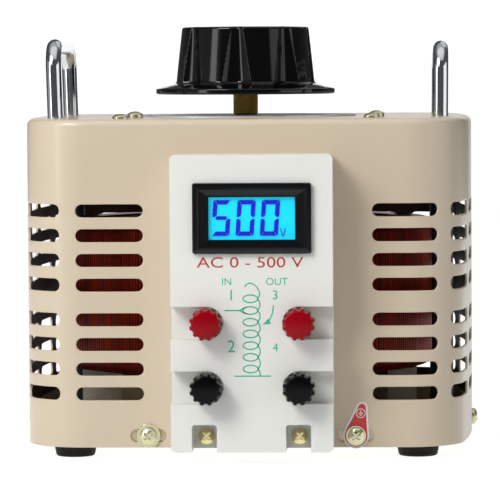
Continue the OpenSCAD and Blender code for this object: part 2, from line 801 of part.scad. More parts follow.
translate([0, middle_y, 0]) {
    housing_cover();
    base_plate();
    foot_front_left();
    foot_front_right();
    foot_rear_left();
    foot_rear_right();
    foot_screws();
    handle_left();
    handle_right();
    handle_nuts();
    top_frame();
    tie_pillars();
    top_screws();
    dial_plate();
    cover_screws();
    cover_washers();
    ground_screw();
    ground_tag();
    terminal_board();
    board_screws();
    meter_bezel();
    meter_case();
    meter_window();
    display_panel();
    display_digits();
    terminal_studs();
    terminal_nuts();
    core();
    core_insulation();
    winding();
    contact_track();
    coil_supports();
    centre_hub();
    lower_clamp_disc();
    upper_clamp_disc();
    hub_bolts();
    lower_bush();
    upper_bush();
    pickup_contact();
    travel_stop();
    output_lead();
    supply_lead();
    shaft();
    control_knob();
    knob_bush();
    knob_set_screw();
    brush_arm();
    arm_hub();
    slip_ring();
    brush_holder();
    carbon_brush();
    brush_spring();
    input_line_cap();
    input_neutral_cap();
    output_line_cap();
    output_neutral_cap();
    input_line_washer();
    input_neutral_washer();
    output_line_washer();
    output_neutral_washer();
}
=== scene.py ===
"""Looks of a bench variable autotransformer: vented painted housing, fluted knob and terminal board.

Every size is in metres unless its name ends in _mm. X points right, Z up, and the front looks towards -Y.
"""

import json
import logging
import math
from collections.abc import Iterator
from contextlib import contextmanager
from dataclasses import dataclass
from enum import Enum

import bmesh
import bpy
import numpy as np
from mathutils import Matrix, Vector


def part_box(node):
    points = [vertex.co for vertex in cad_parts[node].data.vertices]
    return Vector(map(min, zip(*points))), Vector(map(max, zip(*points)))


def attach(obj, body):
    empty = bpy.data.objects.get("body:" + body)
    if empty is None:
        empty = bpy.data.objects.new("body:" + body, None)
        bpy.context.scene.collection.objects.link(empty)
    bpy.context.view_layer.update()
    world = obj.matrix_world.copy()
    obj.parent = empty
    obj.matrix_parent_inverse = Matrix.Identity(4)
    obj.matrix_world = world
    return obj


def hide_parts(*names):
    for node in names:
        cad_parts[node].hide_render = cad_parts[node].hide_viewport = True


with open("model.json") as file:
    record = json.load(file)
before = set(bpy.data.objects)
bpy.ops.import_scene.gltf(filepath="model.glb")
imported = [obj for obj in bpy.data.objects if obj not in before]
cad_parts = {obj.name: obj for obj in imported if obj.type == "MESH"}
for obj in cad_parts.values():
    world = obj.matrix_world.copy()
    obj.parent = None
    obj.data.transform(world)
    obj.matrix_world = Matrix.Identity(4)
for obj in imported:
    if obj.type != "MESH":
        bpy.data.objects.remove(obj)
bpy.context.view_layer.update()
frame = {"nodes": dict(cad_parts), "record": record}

Array = np.ndarray
Object = bpy.types.Object
Pair = tuple[float, float]

log = logging.getLogger("variac")
MM = 0.001
TURN = 2 * math.pi
# Edges that turn by more are sharp: on a CAD mesh, on a piece made here, on a bevelled one
SHARP_DEGREES = 30
SMOOTH_DEGREES = 35
BEVELLED_DEGREES = 40
# Height of a capital as a share of the font's size
CAPITAL_SHARE = 0.72
# What the lamps look at: the object's middle
MIDDLE = np.array([0.0, 0.0, 0.1])


# ---------- finishes ----------


class Pattern(Enum):
    """The relief that a surface's making leaves on it."""

    ORANGE_PEEL = "sprayed and baked paint"
    MOULDED = "fine texture of a mould"
    BRUSHED = "fine parallel scratches"
    PLATED = "cloudy plating over metal"
    CAST = "coarse grain of cast or pressed stock"
    POLISHED = "no relief that shows"


def linear(code: str) -> tuple[float, float, float, float]:
    """Turn an sRGB hex colour into linear light, with an alpha of one."""
    srgb = np.array([int(code[i : i + 2], 16) for i in (0, 2, 4)]) / 255
    light = np.where(srgb <= 0.04045, srgb / 12.92, ((srgb + 0.055) / 1.055) ** 2.4)
    return (*light.tolist(), 1.0)


def add_node(
    tree: bpy.types.NodeTree, kind: str, settings: dict | None = None, links: dict | None = None
) -> bpy.types.Node:
    """Add one shader node.

    Args:
        tree: The node tree.
        kind: The node's type name without its ShaderNode prefix.
        settings: Attribute names, or input names and numbers, to values.
        links: Input names or numbers to the output sockets that feed them.
    """
    node = tree.nodes.new("ShaderNode" + kind)
    for key, value in (settings or {}).items():
        if isinstance(key, int) or key in node.inputs:
            node.inputs[key].default_value = value
        else:
            setattr(node, key, value)
    for key, socket in (links or {}).items():
        tree.links.new(socket, node.inputs[key])
    return node


def new_material(name: str, settings: dict) -> tuple[bpy.types.Material, bpy.types.NodeTree, bpy.types.Node]:
    """Make a node material with inputs of its main shader set, and give its tree and that shader too."""
    material = bpy.data.materials.new(name)
    material.use_nodes = True
    tree = material.node_tree
    shader = tree.nodes["Principled BSDF"]
    for key, value in settings.items():
        shader.inputs[key].default_value = value
    return material, tree, shader


@dataclass(frozen=True)
class Finish:
    """One real material: its colour, how it was made and how it takes light."""

    name: str
    colour: str
    second: str
    roughness: float
    metallic: float = 0.0
    pattern: Pattern = Pattern.POLISHED
    grain_mm: float = 2.0
    cloud_mm: float = 40.0
    relief_mm: float = 0.0
    coat: float = 0.0
    specular: float = 0.5
    glow: float = 0.0
    spread: float = 0.06
    shade_attribute: str = ""

    def material(self) -> bpy.types.Material:
        """Build the node material, or return the one that is already built."""
        made = bpy.data.materials.get(self.name)
        if made:
            return made
        material, tree, shader = new_material(self.name, {
            "Metallic": self.metallic, "Specular IOR Level": self.specular, "Coat Weight": self.coat,
            "Coat Roughness": 0.08,
        })
        place = add_node(tree, "TexCoord").outputs["Object"]
        scale = 1 / (self.cloud_mm * MM)
        noise = add_node(tree, "TexNoise", {"Scale": scale, "Detail": 3.0}, {"Vector": place})
        clouds = noise.outputs["Fac"]
        tint = self.tint(tree, clouds)
        tree.links.new(tint, shader.inputs["Base Color"])
        rough = add_node(
            tree, "MapRange",
            {"To Min": max(self.roughness - self.spread, 0.02), "To Max": self.roughness + self.spread},
            {"Value": clouds},
        )
        tree.links.new(rough.outputs["Result"], shader.inputs["Roughness"])
        if self.glow:
            tree.links.new(tint, shader.inputs["Emission Color"])
            shader.inputs["Emission Strength"].default_value = self.glow
        if self.pattern is not Pattern.POLISHED:
            tree.links.new(self.relief(tree, place), shader.inputs["Normal"])
        return material

    def tint(self, tree: bpy.types.NodeTree, clouds: bpy.types.NodeSocket) -> bpy.types.NodeSocket:
        """Mix the two colours by soft clouds, then multiply by a shade the mesh carries where it has one; on
        the coil this is a random tone per turn, on the knurl painted shade in the grooves.
        """
        mix = add_node(
            tree, "Mix", {"data_type": "RGBA", 6: linear(self.colour), 7: linear(self.second)}, {0: clouds}
        )
        if not self.shade_attribute:
            return mix.outputs[2]
        shade = add_node(tree, "Attribute", {"attribute_name": self.shade_attribute})
        return add_node(
            tree, "Mix", {"data_type": "RGBA", "blend_type": "MULTIPLY", 0: 1.0},
            {6: mix.outputs[2], 7: shade.outputs["Fac"]},
        ).outputs[2]

    def relief(self, tree: bpy.types.NodeTree, place: bpy.types.NodeSocket) -> bpy.types.NodeSocket:
        """Make the bump of the pattern, with its grain in real millimetres."""
        stretch = (1.0, 1.0, 12.0) if self.pattern is Pattern.BRUSHED else (1.0, 1.0, 1.0)
        mapped = add_node(tree, "Mapping", {"Scale": stretch}, {"Vector": place})
        grain = add_node(
            tree, "TexNoise",
            {"Scale": 1 / (self.grain_mm * MM), "Detail": 2.0, "Roughness": 0.55},
            {"Vector": mapped.outputs["Vector"]},
        )
        bump = add_node(
            tree, "Bump", {"Strength": 0.6, "Distance": self.relief_mm * MM}, {"Height": grain.outputs["Fac"]}
        )
        return bump.outputs["Normal"]


# Semi-gloss polyester powder coat: an even beige with the faint dimples of baked powder
POWDER_COAT = Finish(
    "beige_powder_coat", "D1C1A9", "CCBCA4", 0.36, coat=0.25, pattern=Pattern.ORANGE_PEEL, grain_mm=1.6,
    relief_mm=0.012,
)
# The cover's inside is painted dark and dull: painted shade for the dim interior seen through the vents
INNER_PAINTED_SHADE = Finish("inner_painted_shade", "57463A", "4A3B31", 0.6, specular=0.15)
# Injection-moulded ABS: an opaque milky white with a soft sheen
WHITE_ABS = Finish(
    "white_abs", "EAEAE5", "E6E6E0", 0.32, pattern=Pattern.MOULDED, grain_mm=2.5, relief_mm=0.006
)
# Phenolic moulding: deep black with a hard wet gloss
BLACK_PHENOLIC = Finish("black_phenolic", "040404", "060607", 0.09, specular=0.35, spread=0.02)
# Black ABS of a panel meter: less deep, a little duller
BLACK_ABS = Finish(
    "black_abs", "0A0B0C", "0E0F10", 0.2, specular=0.3, spread=0.04, pattern=Pattern.MOULDED, relief_mm=0.004
)
RED_PHENOLIC = Finish("red_phenolic", "8C0210", "960412", 0.22, specular=0.14, spread=0.04)
CAP_BLACK = Finish("black_post_phenolic", "040404", "060606", 0.22, specular=0.12, spread=0.04)
# Chrome plate over polished steel rod
CHROME = Finish("chrome_plate", "D4D6D8", "CDD0D3", 0.12, metallic=1.0, spread=0.02)
# Passivated zinc: pale metal with yellow and greenish clouds
YELLOW_ZINC = Finish(
    "yellow_zinc_plate", "D8CFA0", "C9CDB4", 0.27, metallic=1.0, cloud_mm=3.0, pattern=Pattern.PLATED,
    grain_mm=0.8, relief_mm=0.01,
)
GOLD_ZINC = Finish(
    "gold_zinc_plate", "E8D890", "EEE6B8", 0.3, metallic=1.0, cloud_mm=3.0, pattern=Pattern.PLATED,
    grain_mm=0.8, relief_mm=0.01,
)
TURNED_BRASS = Finish(
    "turned_brass", "B79B4A", "A88B3C", 0.27, metallic=1.0, pattern=Pattern.BRUSHED, grain_mm=0.7,
    relief_mm=0.01,
)
# The same brass under knurling, its grooves darkened nearly to black by painted shade
KNURLED_BRASS = Finish("knurled_brass", "E6C468", "D4B052", 0.5, metallic=1.0, shade_attribute="groove_painted_shade")
# Enamelled copper wire, with a shade of its own on every turn
ENAMELLED_COPPER = Finish(
    "enamelled_copper_wire", "90260C", "7A1C08", 0.34, metallic=0.5, specular=0.15, cloud_mm=60,
    shade_attribute="turn_shade",
)
BARE_COPPER = Finish(
    "bare_copper_track", "C37A4A", "B86E40", 0.3, metallic=1.0, pattern=Pattern.BRUSHED, relief_mm=0.02
)
SILICON_STEEL = Finish("silicon_steel", "5C5E62", "4E5054", 0.45, metallic=0.9, pattern=Pattern.CAST)
PRESSBOARD = Finish("pressboard", "C4B189", "B8A47B", 0.8, pattern=Pattern.CAST, grain_mm=1.2, relief_mm=0.05)
PRESSED_STEEL = Finish(
    "zinc_coated_steel", "9A9DA0", "8C8F93", 0.4, metallic=1.0, pattern=Pattern.PLATED, grain_mm=4,
    relief_mm=0.02,
)
# The base tray has the same zinc coat with a faint warm passivation
BASE_STEEL = Finish(
    "passivated_base_steel", "CFC0A4", "C3B599", 0.45, metallic=1.0, pattern=Pattern.PLATED, grain_mm=4,
    relief_mm=0.02,
)
ALLOY = Finish(
    "machined_alloy", "B4B7B9", "A6A9AC", 0.36, metallic=1.0, pattern=Pattern.BRUSHED, relief_mm=0.02
)
SATIN_DIAL = Finish(
    "satin_anodised_dial", "D4D6D6", "CDD0D0", 0.42, metallic=0.5, pattern=Pattern.BRUSHED, grain_mm=0.8,
    relief_mm=0.01,
)
BLACK_INK = Finish("black_dial_ink", "16171A", "1B1C1F", 0.5)
BLACK_RUBBER = Finish(
    "moulded_black_rubber", "1C1917", "221F1D", 0.6, specular=0.2, pattern=Pattern.MOULDED, grain_mm=1.2,
    relief_mm=0.03,
)
CARBON = Finish(
    "pressed_carbon", "2B2B2D", "232325", 0.65, pattern=Pattern.CAST, grain_mm=0.6, relief_mm=0.02
)
RED_PVC = Finish("red_pvc_sleeve", "B01818", "A31414", 0.4)
BLACK_PVC = Finish("black_pvc_sleeve", "1C1C1E", "242426", 0.4)
BRACKET_PAINT = Finish(
    "light_bracket_paint", "EFE6D4", "E6DCC8", 0.5, pattern=Pattern.ORANGE_PEEL, relief_mm=0.02
)
PILLAR_PAINT = Finish(
    "dark_pillar_paint", "37393C", "2C2E31", 0.45, pattern=Pattern.ORANGE_PEEL, relief_mm=0.02
)
LIT_CRYSTAL = Finish("backlit_crystal", "00D2F2", "04CCEE", 0.4, glow=0.32, cloud_mm=30, specular=0.1)
DARK_CRYSTAL = Finish("dark_crystal_segments", "0A0CC0", "1012C8", 0.5, glow=0.2, specular=0.1)
TEAL_INK = Finish("teal_screen_print", "1FB58E", "2ABD97", 0.45)
RED_INK = Finish("red_screen_print", "B22E1C", "BA3826", 0.45)
TAG_RED = Finish("red_tag_enamel", "C40E12", "CC1418", 0.3, coat=0.3)
TAG_WHITE = Finish("white_tag_enamel", "ECECEA", "E6E6E4", 0.35, coat=0.3)


def clear_plastic() -> bpy.types.Material:
    """Make the display window: clear polycarbonate that shows the crystal behind it."""
    return new_material("clear_polycarbonate", {
        "Base Color": linear("F4FCFF"), "Roughness": 0.04, "Specular IOR Level": 0.15, "Alpha": 0.01
    })[0]


# ---------- numpy surfaces ----------


def grid_faces(rows: int, columns: int, close_rows: bool = False) -> Array:
    """List the quads of a grid of closed rows, whose points are numbered row by row."""
    r = np.arange(rows if close_rows else rows - 1)[:, None]
    c = np.arange(columns)[None, :]
    up, along = (r + 1) % rows, (c + 1) % columns
    return np.stack(
        [r * columns + c, r * columns + along, up * columns + along, up * columns + c], axis=-1
    ).reshape(-1, 4)


def around(count: int) -> Array:
    """List the angles of points spaced evenly round a whole turn."""
    return np.linspace(0, TURN, count, endpoint=False)


def wrapped(values: Array, period: float) -> Array:
    """Bring values to within half a period of zero."""
    return (values + period / 2) % period - period / 2


def between(ends: Pair, share: Array) -> Array:
    """Go from one number to another by a share of the way."""
    return ends[0] + (ends[1] - ends[0]) * share


def unit(ways: Array) -> Array:
    """Scale each row to a length of one."""
    return ways / np.linalg.norm(ways, axis=1, keepdims=True)


@dataclass
class Box:
    """A CAD node's box, which every place on it is worked out from."""

    node: str

    def __post_init__(self) -> None:
        """Read the corners, and work out the middle and half of each side."""
        low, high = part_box(self.node)
        self.low, self.high = np.array(low), np.array(high)
        self.middle, self.half = (self.low + self.high) / 2, (self.high - self.low) / 2


def new_object(name: str, data: bpy.types.ID | None) -> Object:
    """Make an object and link it to the scene."""
    thing = bpy.data.objects.new(name, data)
    bpy.context.scene.collection.objects.link(thing)
    return thing


def repaint(thing: Object, material: bpy.types.Material) -> None:
    """Replace an object's materials by one."""
    thing.data.materials.clear()
    thing.data.materials.append(material)


def dress(piece: Object, body: str, slot: str, *nodes: str) -> Object:
    """Tie a piece to its body and hide the CAD nodes that it stands for."""
    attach(piece, body)
    if nodes:
        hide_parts(*nodes)
    log.info("%s: %d faces", piece.name, len(piece.data.polygons))
    return piece


def make_piece(
    name: str, points: Array, faces: Array | list, finish: Finish, sharp: float = SMOOTH_DEGREES
) -> Object:
    """Put points and faces into a new object, smooth but for edges that turn by more than sharp degrees."""
    mesh = bpy.data.meshes.new(name)
    faces = faces.tolist() if isinstance(faces, np.ndarray) else faces
    mesh.from_pydata(points.reshape(-1, 3).tolist(), [], faces)
    mesh.materials.append(finish.material())
    tidy_mesh(mesh, sharp)
    return new_object(name, mesh)


def revolved(
    name: str, radius: Array, heights: Array, centre: Array, finish: Finish, sharp: float,
    axes: tuple[int, int, int] = (0, 1, 2),
) -> Object:
    """Carry a closed profile round an axis.

    Args:
        name: The piece's name.
        radius: Radii, with a row for each point of the profile and a column for each angle.
        heights: The height of each row.
        centre: Where the axis starts.
        finish: What the piece is made of.
        sharp: Edges that turn by more degrees stay sharp.
        axes: Which of (across, across, along the axis) become x, y and z.
    """
    rows, columns = radius.shape
    a = around(columns)
    along = np.repeat(heights[:, None], columns, 1)
    points = np.stack([radius * np.cos(a), radius * np.sin(a), along], axis=-1) + centre
    faces = grid_faces(rows, columns, close_rows=True)
    return make_piece(name, points[..., list(axes)], faces, finish, sharp)


@contextmanager
def editing(mesh: bpy.types.Mesh) -> Iterator[bmesh.types.BMesh]:
    """Open a mesh for editing, and write it back."""
    work = bmesh.new()
    work.from_mesh(mesh)
    yield work
    work.to_mesh(mesh)
    work.free()


def tidy_mesh(mesh: bpy.types.Mesh, sharp: float, merge: float = 2e-7) -> None:
    """Merge doubled points, turn faces outwards and shade smooth but for sharp edges."""
    with editing(mesh) as work:
        bmesh.ops.remove_doubles(work, verts=work.verts, dist=merge)
        bmesh.ops.recalc_face_normals(work, faces=work.faces)
    mesh.shade_smooth()
    mesh.set_sharp_from_angle(angle=math.radians(sharp))


def evaluated(thing: Object) -> bpy.types.Mesh:
    """Make a mesh of an object with its modifiers done."""
    return bpy.data.meshes.new_from_object(thing.evaluated_get(bpy.context.evaluated_depsgraph_get()))


def coordinates(mesh: bpy.types.Mesh) -> Array:
    """Read the places of a mesh's points."""
    flat = np.empty(len(mesh.vertices) * 3)
    mesh.vertices.foreach_get("co", flat)
    return flat.reshape(-1, 3)


def add_shade(piece: Object, name: str, values: Array) -> None:
    """Give each point of a piece a shade that its finish reads."""
    shade = piece.data.attributes.new(name, "FLOAT", "POINT")
    shade.data.foreach_set("value", values.astype(np.float32))


def apply_modifiers(piece: Object, sharp: float | None = None) -> None:
    """Replace a piece's mesh by what its modifiers make of it, and mark its sharp edges anew if asked."""
    mesh = evaluated(piece)
    piece.modifiers.clear()
    piece.data = mesh
    if sharp is not None:
        mesh.shade_smooth()
        mesh.set_sharp_from_angle(angle=math.radians(sharp))


def arc(cx: float, cy: float, r: float, start: float, end: float, count: int) -> list[Pair]:
    """List points of an arc about (cx, cy), with its angles in degrees."""
    a = np.radians(np.linspace(start, end, count))
    return list(zip(cx + r * np.cos(a), cy + r * np.sin(a)))


def rounded_rectangle(half_w: float, half_h: float, r: float, count: int = 6) -> Array:
    """List the outline of a rectangle with round corners, anticlockwise.

    Each corner is a quarter circle of radius r about a point r inside both sides.
    """
    corners = [(1, 1, 0), (-1, 1, 90), (-1, -1, 180), (1, -1, 270)]
    return np.array([
        p for sx, sy, a in corners
        for p in arc(sx * (half_w - r), sy * (half_h - r), r, a, a + 90, count)
    ])


def ribbon(points: Array, width: float | Array, thickness: float) -> tuple[Array, Array]:
    """Sweep a flat rectangle along (x, y), with one width or one for each point, into closed quads."""
    along = unit(np.gradient(points, axis=0))
    side = np.stack([-along[:, 1], along[:, 0]], axis=-1) * np.reshape(width, (-1, 1)) / 2
    left, right = points + side, points - side
    low, high = np.zeros((len(points), 1)), np.full((len(points), 1), thickness)
    ring = np.stack(
        [np.hstack([left, low]), np.hstack([right, low]), np.hstack([right, high]), np.hstack([left, high])],
        axis=1,
    )
    faces = grid_faces(len(points), 4)
    last = (len(points) - 1) * 4
    ends = np.array([[3, 2, 1, 0], [last, last + 1, last + 2, last + 3]])
    return ring.reshape(-1, 3), np.vstack([faces, ends])


def stacked(loops: list[tuple[Array, float]]) -> Array:
    """Lift flat loops, each to its height."""
    return np.vstack([np.column_stack([loop, np.full(len(loop), z)]) for loop, z in loops])


def strokes(paths: list[tuple], thickness: float) -> tuple[Array, Array]:
    """Sweep a ribbon along each path, given with its width, and join them into one set of quads."""
    points, faces, start = [], [], 0
    for path, width in paths:
        p, f = ribbon(np.asarray(path, float), width, thickness)
        points.append(p)
        faces.append(f + start)
        start += len(p)
    return np.vstack(points), np.vstack(faces)


def letters(text: str, size: float, thickness: float) -> tuple[Array, list]:
    """Turn short generic text into flat solid letters, with capitals of a size, about the text's middle."""
    curve = bpy.data.curves.new("letters", "FONT")
    curve.body = text
    curve.size = size / CAPITAL_SHARE
    curve.extrude = thickness / 2
    curve.resolution_u = 4
    holder = new_object("letters", curve)
    mesh = evaluated(holder)
    bpy.data.objects.remove(holder)
    flat = coordinates(mesh)
    middle = (flat.min(axis=0) + flat.max(axis=0)) / 2
    faces = [list(face.vertices) for face in mesh.polygons]
    bpy.data.meshes.remove(mesh)
    return flat - [middle[0], middle[1], -thickness / 2], faces


def plates(shapes: list[Array], base: float, top: float) -> tuple[Array, list]:
    """Turn flat outlines, each as (x, y), into the points and faces of thin plates."""
    points, faces = [], []
    for shape in shapes:
        n, start = len(shape), len(points)
        points += [(x, y, base) for x, y in shape] + [(x, y, top) for x, y in shape]
        low = list(range(start, start + n))
        faces += [low[::-1], [i + n for i in low]]
        faces += [[low[i], low[(i + 1) % n], low[(i + 1) % n] + n, low[i] + n] for i in range(n)]
    return np.array(points), faces


def copied(node: str, name: str, finish: Finish) -> Object:
    """Copy a CAD node's mesh under a new name and give it a finish."""
    mesh = frame["nodes"][node].data.copy()
    mesh.materials.clear()
    mesh.materials.append(finish.material())
    tidy_mesh(mesh, SHARP_DEGREES, merge=1e-6)
    return new_object(name, mesh)


def dissolve_flat(work: bmesh.types.BMesh, delimit: set[str]) -> None:
    """Merge triangles that lie in one plane."""
    bmesh.ops.dissolve_limit(
        work, angle_limit=math.radians(0.5), verts=work.verts, edges=work.edges, delimit=delimit
    )


def bevel(
    piece: Object, width_mm: float, segments: int = 2, limit: str = "ANGLE",
    degrees: float = SHARP_DEGREES,
) -> None:
    """Bevel a piece's edges, chosen by their angle or weight, after any modifier that it has."""
    edges = piece.modifiers.new("edge", "BEVEL")
    edges.width = width_mm * MM
    edges.segments = segments
    edges.limit_method = limit
    edges.angle_limit = math.radians(degrees)
    apply_modifiers(piece, BEVELLED_DEGREES)


def keep_flat(piece: Object) -> None:
    """Shade a bevelled piece so that its large faces look flat."""
    piece.modifiers.new("flat", "WEIGHTED_NORMAL").keep_sharp = True
    apply_modifiers(piece)


def bevelled_copy(node: str, finish: Finish, width_mm: float) -> Object:
    """Copy a CAD node's mesh and round its sharp edges."""
    piece = copied(node, node + "_dressed", finish)
    with editing(piece.data) as work:
        dissolve_flat(work, {"NORMAL"})
    bevel(piece, width_mm)
    keep_flat(piece)
    return piece


# ---------- housing ----------


@dataclass
class Outline:
    """The cover's plan: flats in front and behind, four corner arcs and two bowed sides."""

    half_w: float
    half_d: float
    middle_y: float
    corner_r: float = 30 * MM
    bow_r: float = 520 * MM

    def __post_init__(self) -> None:
        """Work out where the arcs meet, so that each runs into the next without a kink."""
        gap = self.bow_r - self.corner_r
        self.corner_y = self.half_d - self.corner_r
        self.bow_x = self.half_w - self.bow_r
        self.bow_a = math.asin(self.corner_y / gap)
        self.corner_x = self.bow_x + gap * math.cos(self.bow_a)
        corner_l = self.corner_r * (math.pi / 2 - self.bow_a)
        self.ends = np.cumsum([self.corner_x, corner_l, 2 * self.bow_r * self.bow_a, corner_l, self.corner_x])
        self.half_loop = float(self.ends[-1])
        self.loop = 2 * self.half_loop

    def point(self, s: Array) -> tuple[Array, Array]:
        """Find places on the outline.

        The length s runs from the middle of the front, to the right where it is positive. On a flat
        the point moves straight, and on an arc by s / r radians about the arc's centre. The points and
        the outward directions are both given as (x, y).
        """
        s = wrapped(s, self.loop)
        side, t = np.sign(s) + (s == 0), np.abs(s)
        e = self.ends
        bow, right = self.bow_a, math.pi / 2
        spans = [t < e[0], t < e[1], t < e[2], t < e[3], t >= e[3]]
        angle = np.select(spans, [
            -right, -right + (t - e[0]) / self.corner_r, -bow + (t - e[1]) / self.bow_r,
            bow + (t - e[2]) / self.corner_r, right,
        ])
        cx = np.select(spans, [t, self.corner_x, self.bow_x, self.corner_x, self.half_loop - t])
        cy = np.select(spans, [0.0, -self.corner_y, 0.0, self.corner_y, 0.0])
        r = np.select(spans, [self.half_d, self.corner_r, self.bow_r, self.corner_r, self.half_d])
        out = np.stack([np.cos(angle), np.sin(angle)], axis=-1)
        out[spans[0] | spans[4], 0] = 0
        xy = np.stack([cx, cy], axis=-1) + out * r[..., None]
        sign = np.stack([side, np.ones_like(side)], axis=-1)
        return xy * sign + [0, self.middle_y], out * sign


@dataclass
class Opening:
    """A slot with round ends, and the patch of sheet round it, by their place along and up the sheet."""

    s: float
    z: float
    length: float
    height: float
    half_s: float
    half_z: float

    def __post_init__(self) -> None:
        """Work out the ends' radius and half of the straight part."""
        self.straight, self.r = (self.length - self.height) / 2, self.height / 2


@dataclass
class Housing:
    """The vented sheet-steel cover."""

    sheet: float = 1.2 * MM
    edge_r: float = 3.5 * MM
    slot_l: float = 34 * MM
    slot_h: float = 6.5 * MM
    slot_pitch: float = 42.7 * MM
    row_pitch: float = 12.4 * MM
    first_row: float = 125.35 * MM
    group_gap: float = 5 * MM
    left_start: float = 50.2 * MM
    right_start: float = 64.4 * MM
    columns: int = 8
    screw_slot: Pair = (18 * MM, 6.5 * MM)
    screw_margin: Pair = (3 * MM, 2.2 * MM)
    screw_x: Pair = (-48 * MM, 56 * MM)
    screw_z: float = 12.5 * MM
    shaft_x: float = -2.8 * MM
    shaft_hole_r: float = 9 * MM
    punched_edge_mm: float = 0.3
    # The grid: ways from a slot's end to its patch's edge, the smallest step, lines behind the board
    # and between the vents and the top, and how far off a line may lie
    fan_degrees: tuple[float, ...] = (75.0, 60.0, 45.0)
    rise_degrees: tuple[float, ...] = (0.0, 13.0, 26.0)
    least_step: float = 0.4 * MM
    board_mm: Pair = (-45.85, 60.05)
    upper_lines: Pair = (0.14, 0.152)
    match: float = 2e-6
    # How far on the rings lie, from a slot to its patch's edge and from the top edge to the shaft's hole
    patch_shares: tuple[float, ...] = (0.0, 0.3, 1.0)
    crown_shares: tuple[float, ...] = (0.1, 0.4, 0.75, 1.0)

    def __post_init__(self) -> None:
        """Read the cover's size from the frame."""
        box = Box("housing_cover")
        self.low_z, self.high_z = box.low[2], box.high[2]
        self.outline = Outline(box.half[0], box.half[1], box.middle[1])

    def openings(self) -> list[Opening]:
        """List the vents, and the slots that the front screws hold."""
        rows = [self.first_row - i * self.row_pitch - (self.group_gap if i > 3 else 0) for i in range(8)]
        middles = [self.right_start + self.slot_l / 2 + i * self.slot_pitch for i in range(self.columns)]
        middles += [-self.left_start - self.slot_l / 2 - i * self.slot_pitch for i in range(self.columns)]
        cell = self.slot_pitch / 2, self.row_pitch / 2
        vents = [Opening(s, z, self.slot_l, self.slot_h, *cell) for s in middles for z in rows]
        length, height = self.screw_slot
        cell = length / 2 + self.screw_margin[0], height / 2 + self.screw_margin[1]
        return vents + [Opening(x, self.screw_z, length, height, *cell) for x in self.screw_x]

    def lines(self) -> tuple[Array, Array]:
        """Work out the grid lines along and up the sheet, so that they meet every patch's edges."""
        along, up = [], []
        for hole in self.openings():
            fan = hole.straight + hole.half_z / np.tan(np.radians(self.fan_degrees))
            fan = fan[fan < hole.half_s - self.least_step]
            steps = np.concatenate([np.linspace(0, hole.straight, 7), fan, [hole.half_s]])
            rise = (hole.half_s - hole.straight) * np.tan(np.radians(self.rise_degrees))
            rises = np.concatenate([rise[rise < hole.half_z - self.least_step], [hole.half_z]])
            along += [hole.s + sign * v for v in steps for sign in (-1, 1)]
            up += [hole.z + sign * v for v in rises for sign in (-1, 1)]
        along = wrapped(np.array(along), self.outline.loop)
        along = np.unique(np.round(np.append(along, np.linspace(*self.board_mm, 12) * MM), 6))
        up += [self.low_z, self.low_z + 0.3 * MM, *self.upper_lines, self.high_z - self.edge_r]
        return along, np.unique(np.round(up, 6))

    def build(self) -> None:
        """Build the pierced sheet, give it its thickness and dress it."""
        s, z = self.lines()
        points, faces = self.wall(s, z)
        for hole in self.openings():
            ring, quads = self.patch(hole, s, z)
            faces = np.vstack([faces, quads + len(points)])
            points = np.vstack([points, ring])
        xy, _ = self.outline.point(points[:, 0])
        solid = np.column_stack([xy, points[:, 1]])
        crown, crown_faces = self.crown(s)
        faces = np.vstack([faces, crown_faces + len(solid)])
        shell = self.thicken(np.vstack([solid, crown]), faces)
        dress(shell, "housing", "beige_paint", "housing_cover")

    def wall(self, s: Array, z: Array) -> tuple[Array, Array]:
        """Make the plain parts of the wall as a grid of (length, height), without the patches."""
        grid = np.stack(np.meshgrid(s, z), axis=-1)
        quads = grid_faces(len(z), len(s))
        row, column = np.divmod(np.arange(len(quads)), len(s))
        step = (np.roll(s, -1) - s) % self.outline.loop
        middle_s, middle_z = s[column] + step[column] / 2, (z[row] + z[row + 1]) / 2
        keep = np.ones(len(quads), bool)
        for hole in self.openings():
            away = wrapped(middle_s - hole.s, self.outline.loop)
            keep &= (np.abs(away) > hole.half_s) | (np.abs(middle_z - hole.z) > hole.half_z)
        return grid.reshape(-1, 2), quads[keep]

    def patch(self, hole: Opening, s: Array, z: Array) -> tuple[Array, Array]:
        """Make the sheet round one opening as rings between the opening and the patch's edge.

        A point of the edge belongs to the point of the opening that lies the same way from the
        opening's middle line, and the rings divide the straight way between the two.
        """
        local = wrapped(s - hole.s, self.outline.loop)
        x = np.sort(local[np.abs(local) <= hole.half_s + self.match])
        y = z[np.abs(z - hole.z) <= hole.half_z + self.match] - hole.z
        edge = np.concatenate([
            np.column_stack([x[:-1], np.full(len(x) - 1, y[0])]),
            np.column_stack([np.full(len(y) - 1, x[-1]), y[:-1]]),
            np.column_stack([x[:0:-1], np.full(len(x) - 1, y[-1])]),
            np.column_stack([np.full(len(y) - 1, x[0]), y[:0:-1]]),
        ])
        root = np.column_stack([np.clip(edge[:, 0], -hole.straight, hole.straight), np.zeros(len(edge))])
        rim = root + unit(edge - root) * hole.r
        share = np.array(self.patch_shares)[:, None, None]
        rings = rim + (edge - rim) * share + [hole.s, hole.z]
        return rings.reshape(-1, 2), grid_faces(3, len(edge))[:, ::-1]

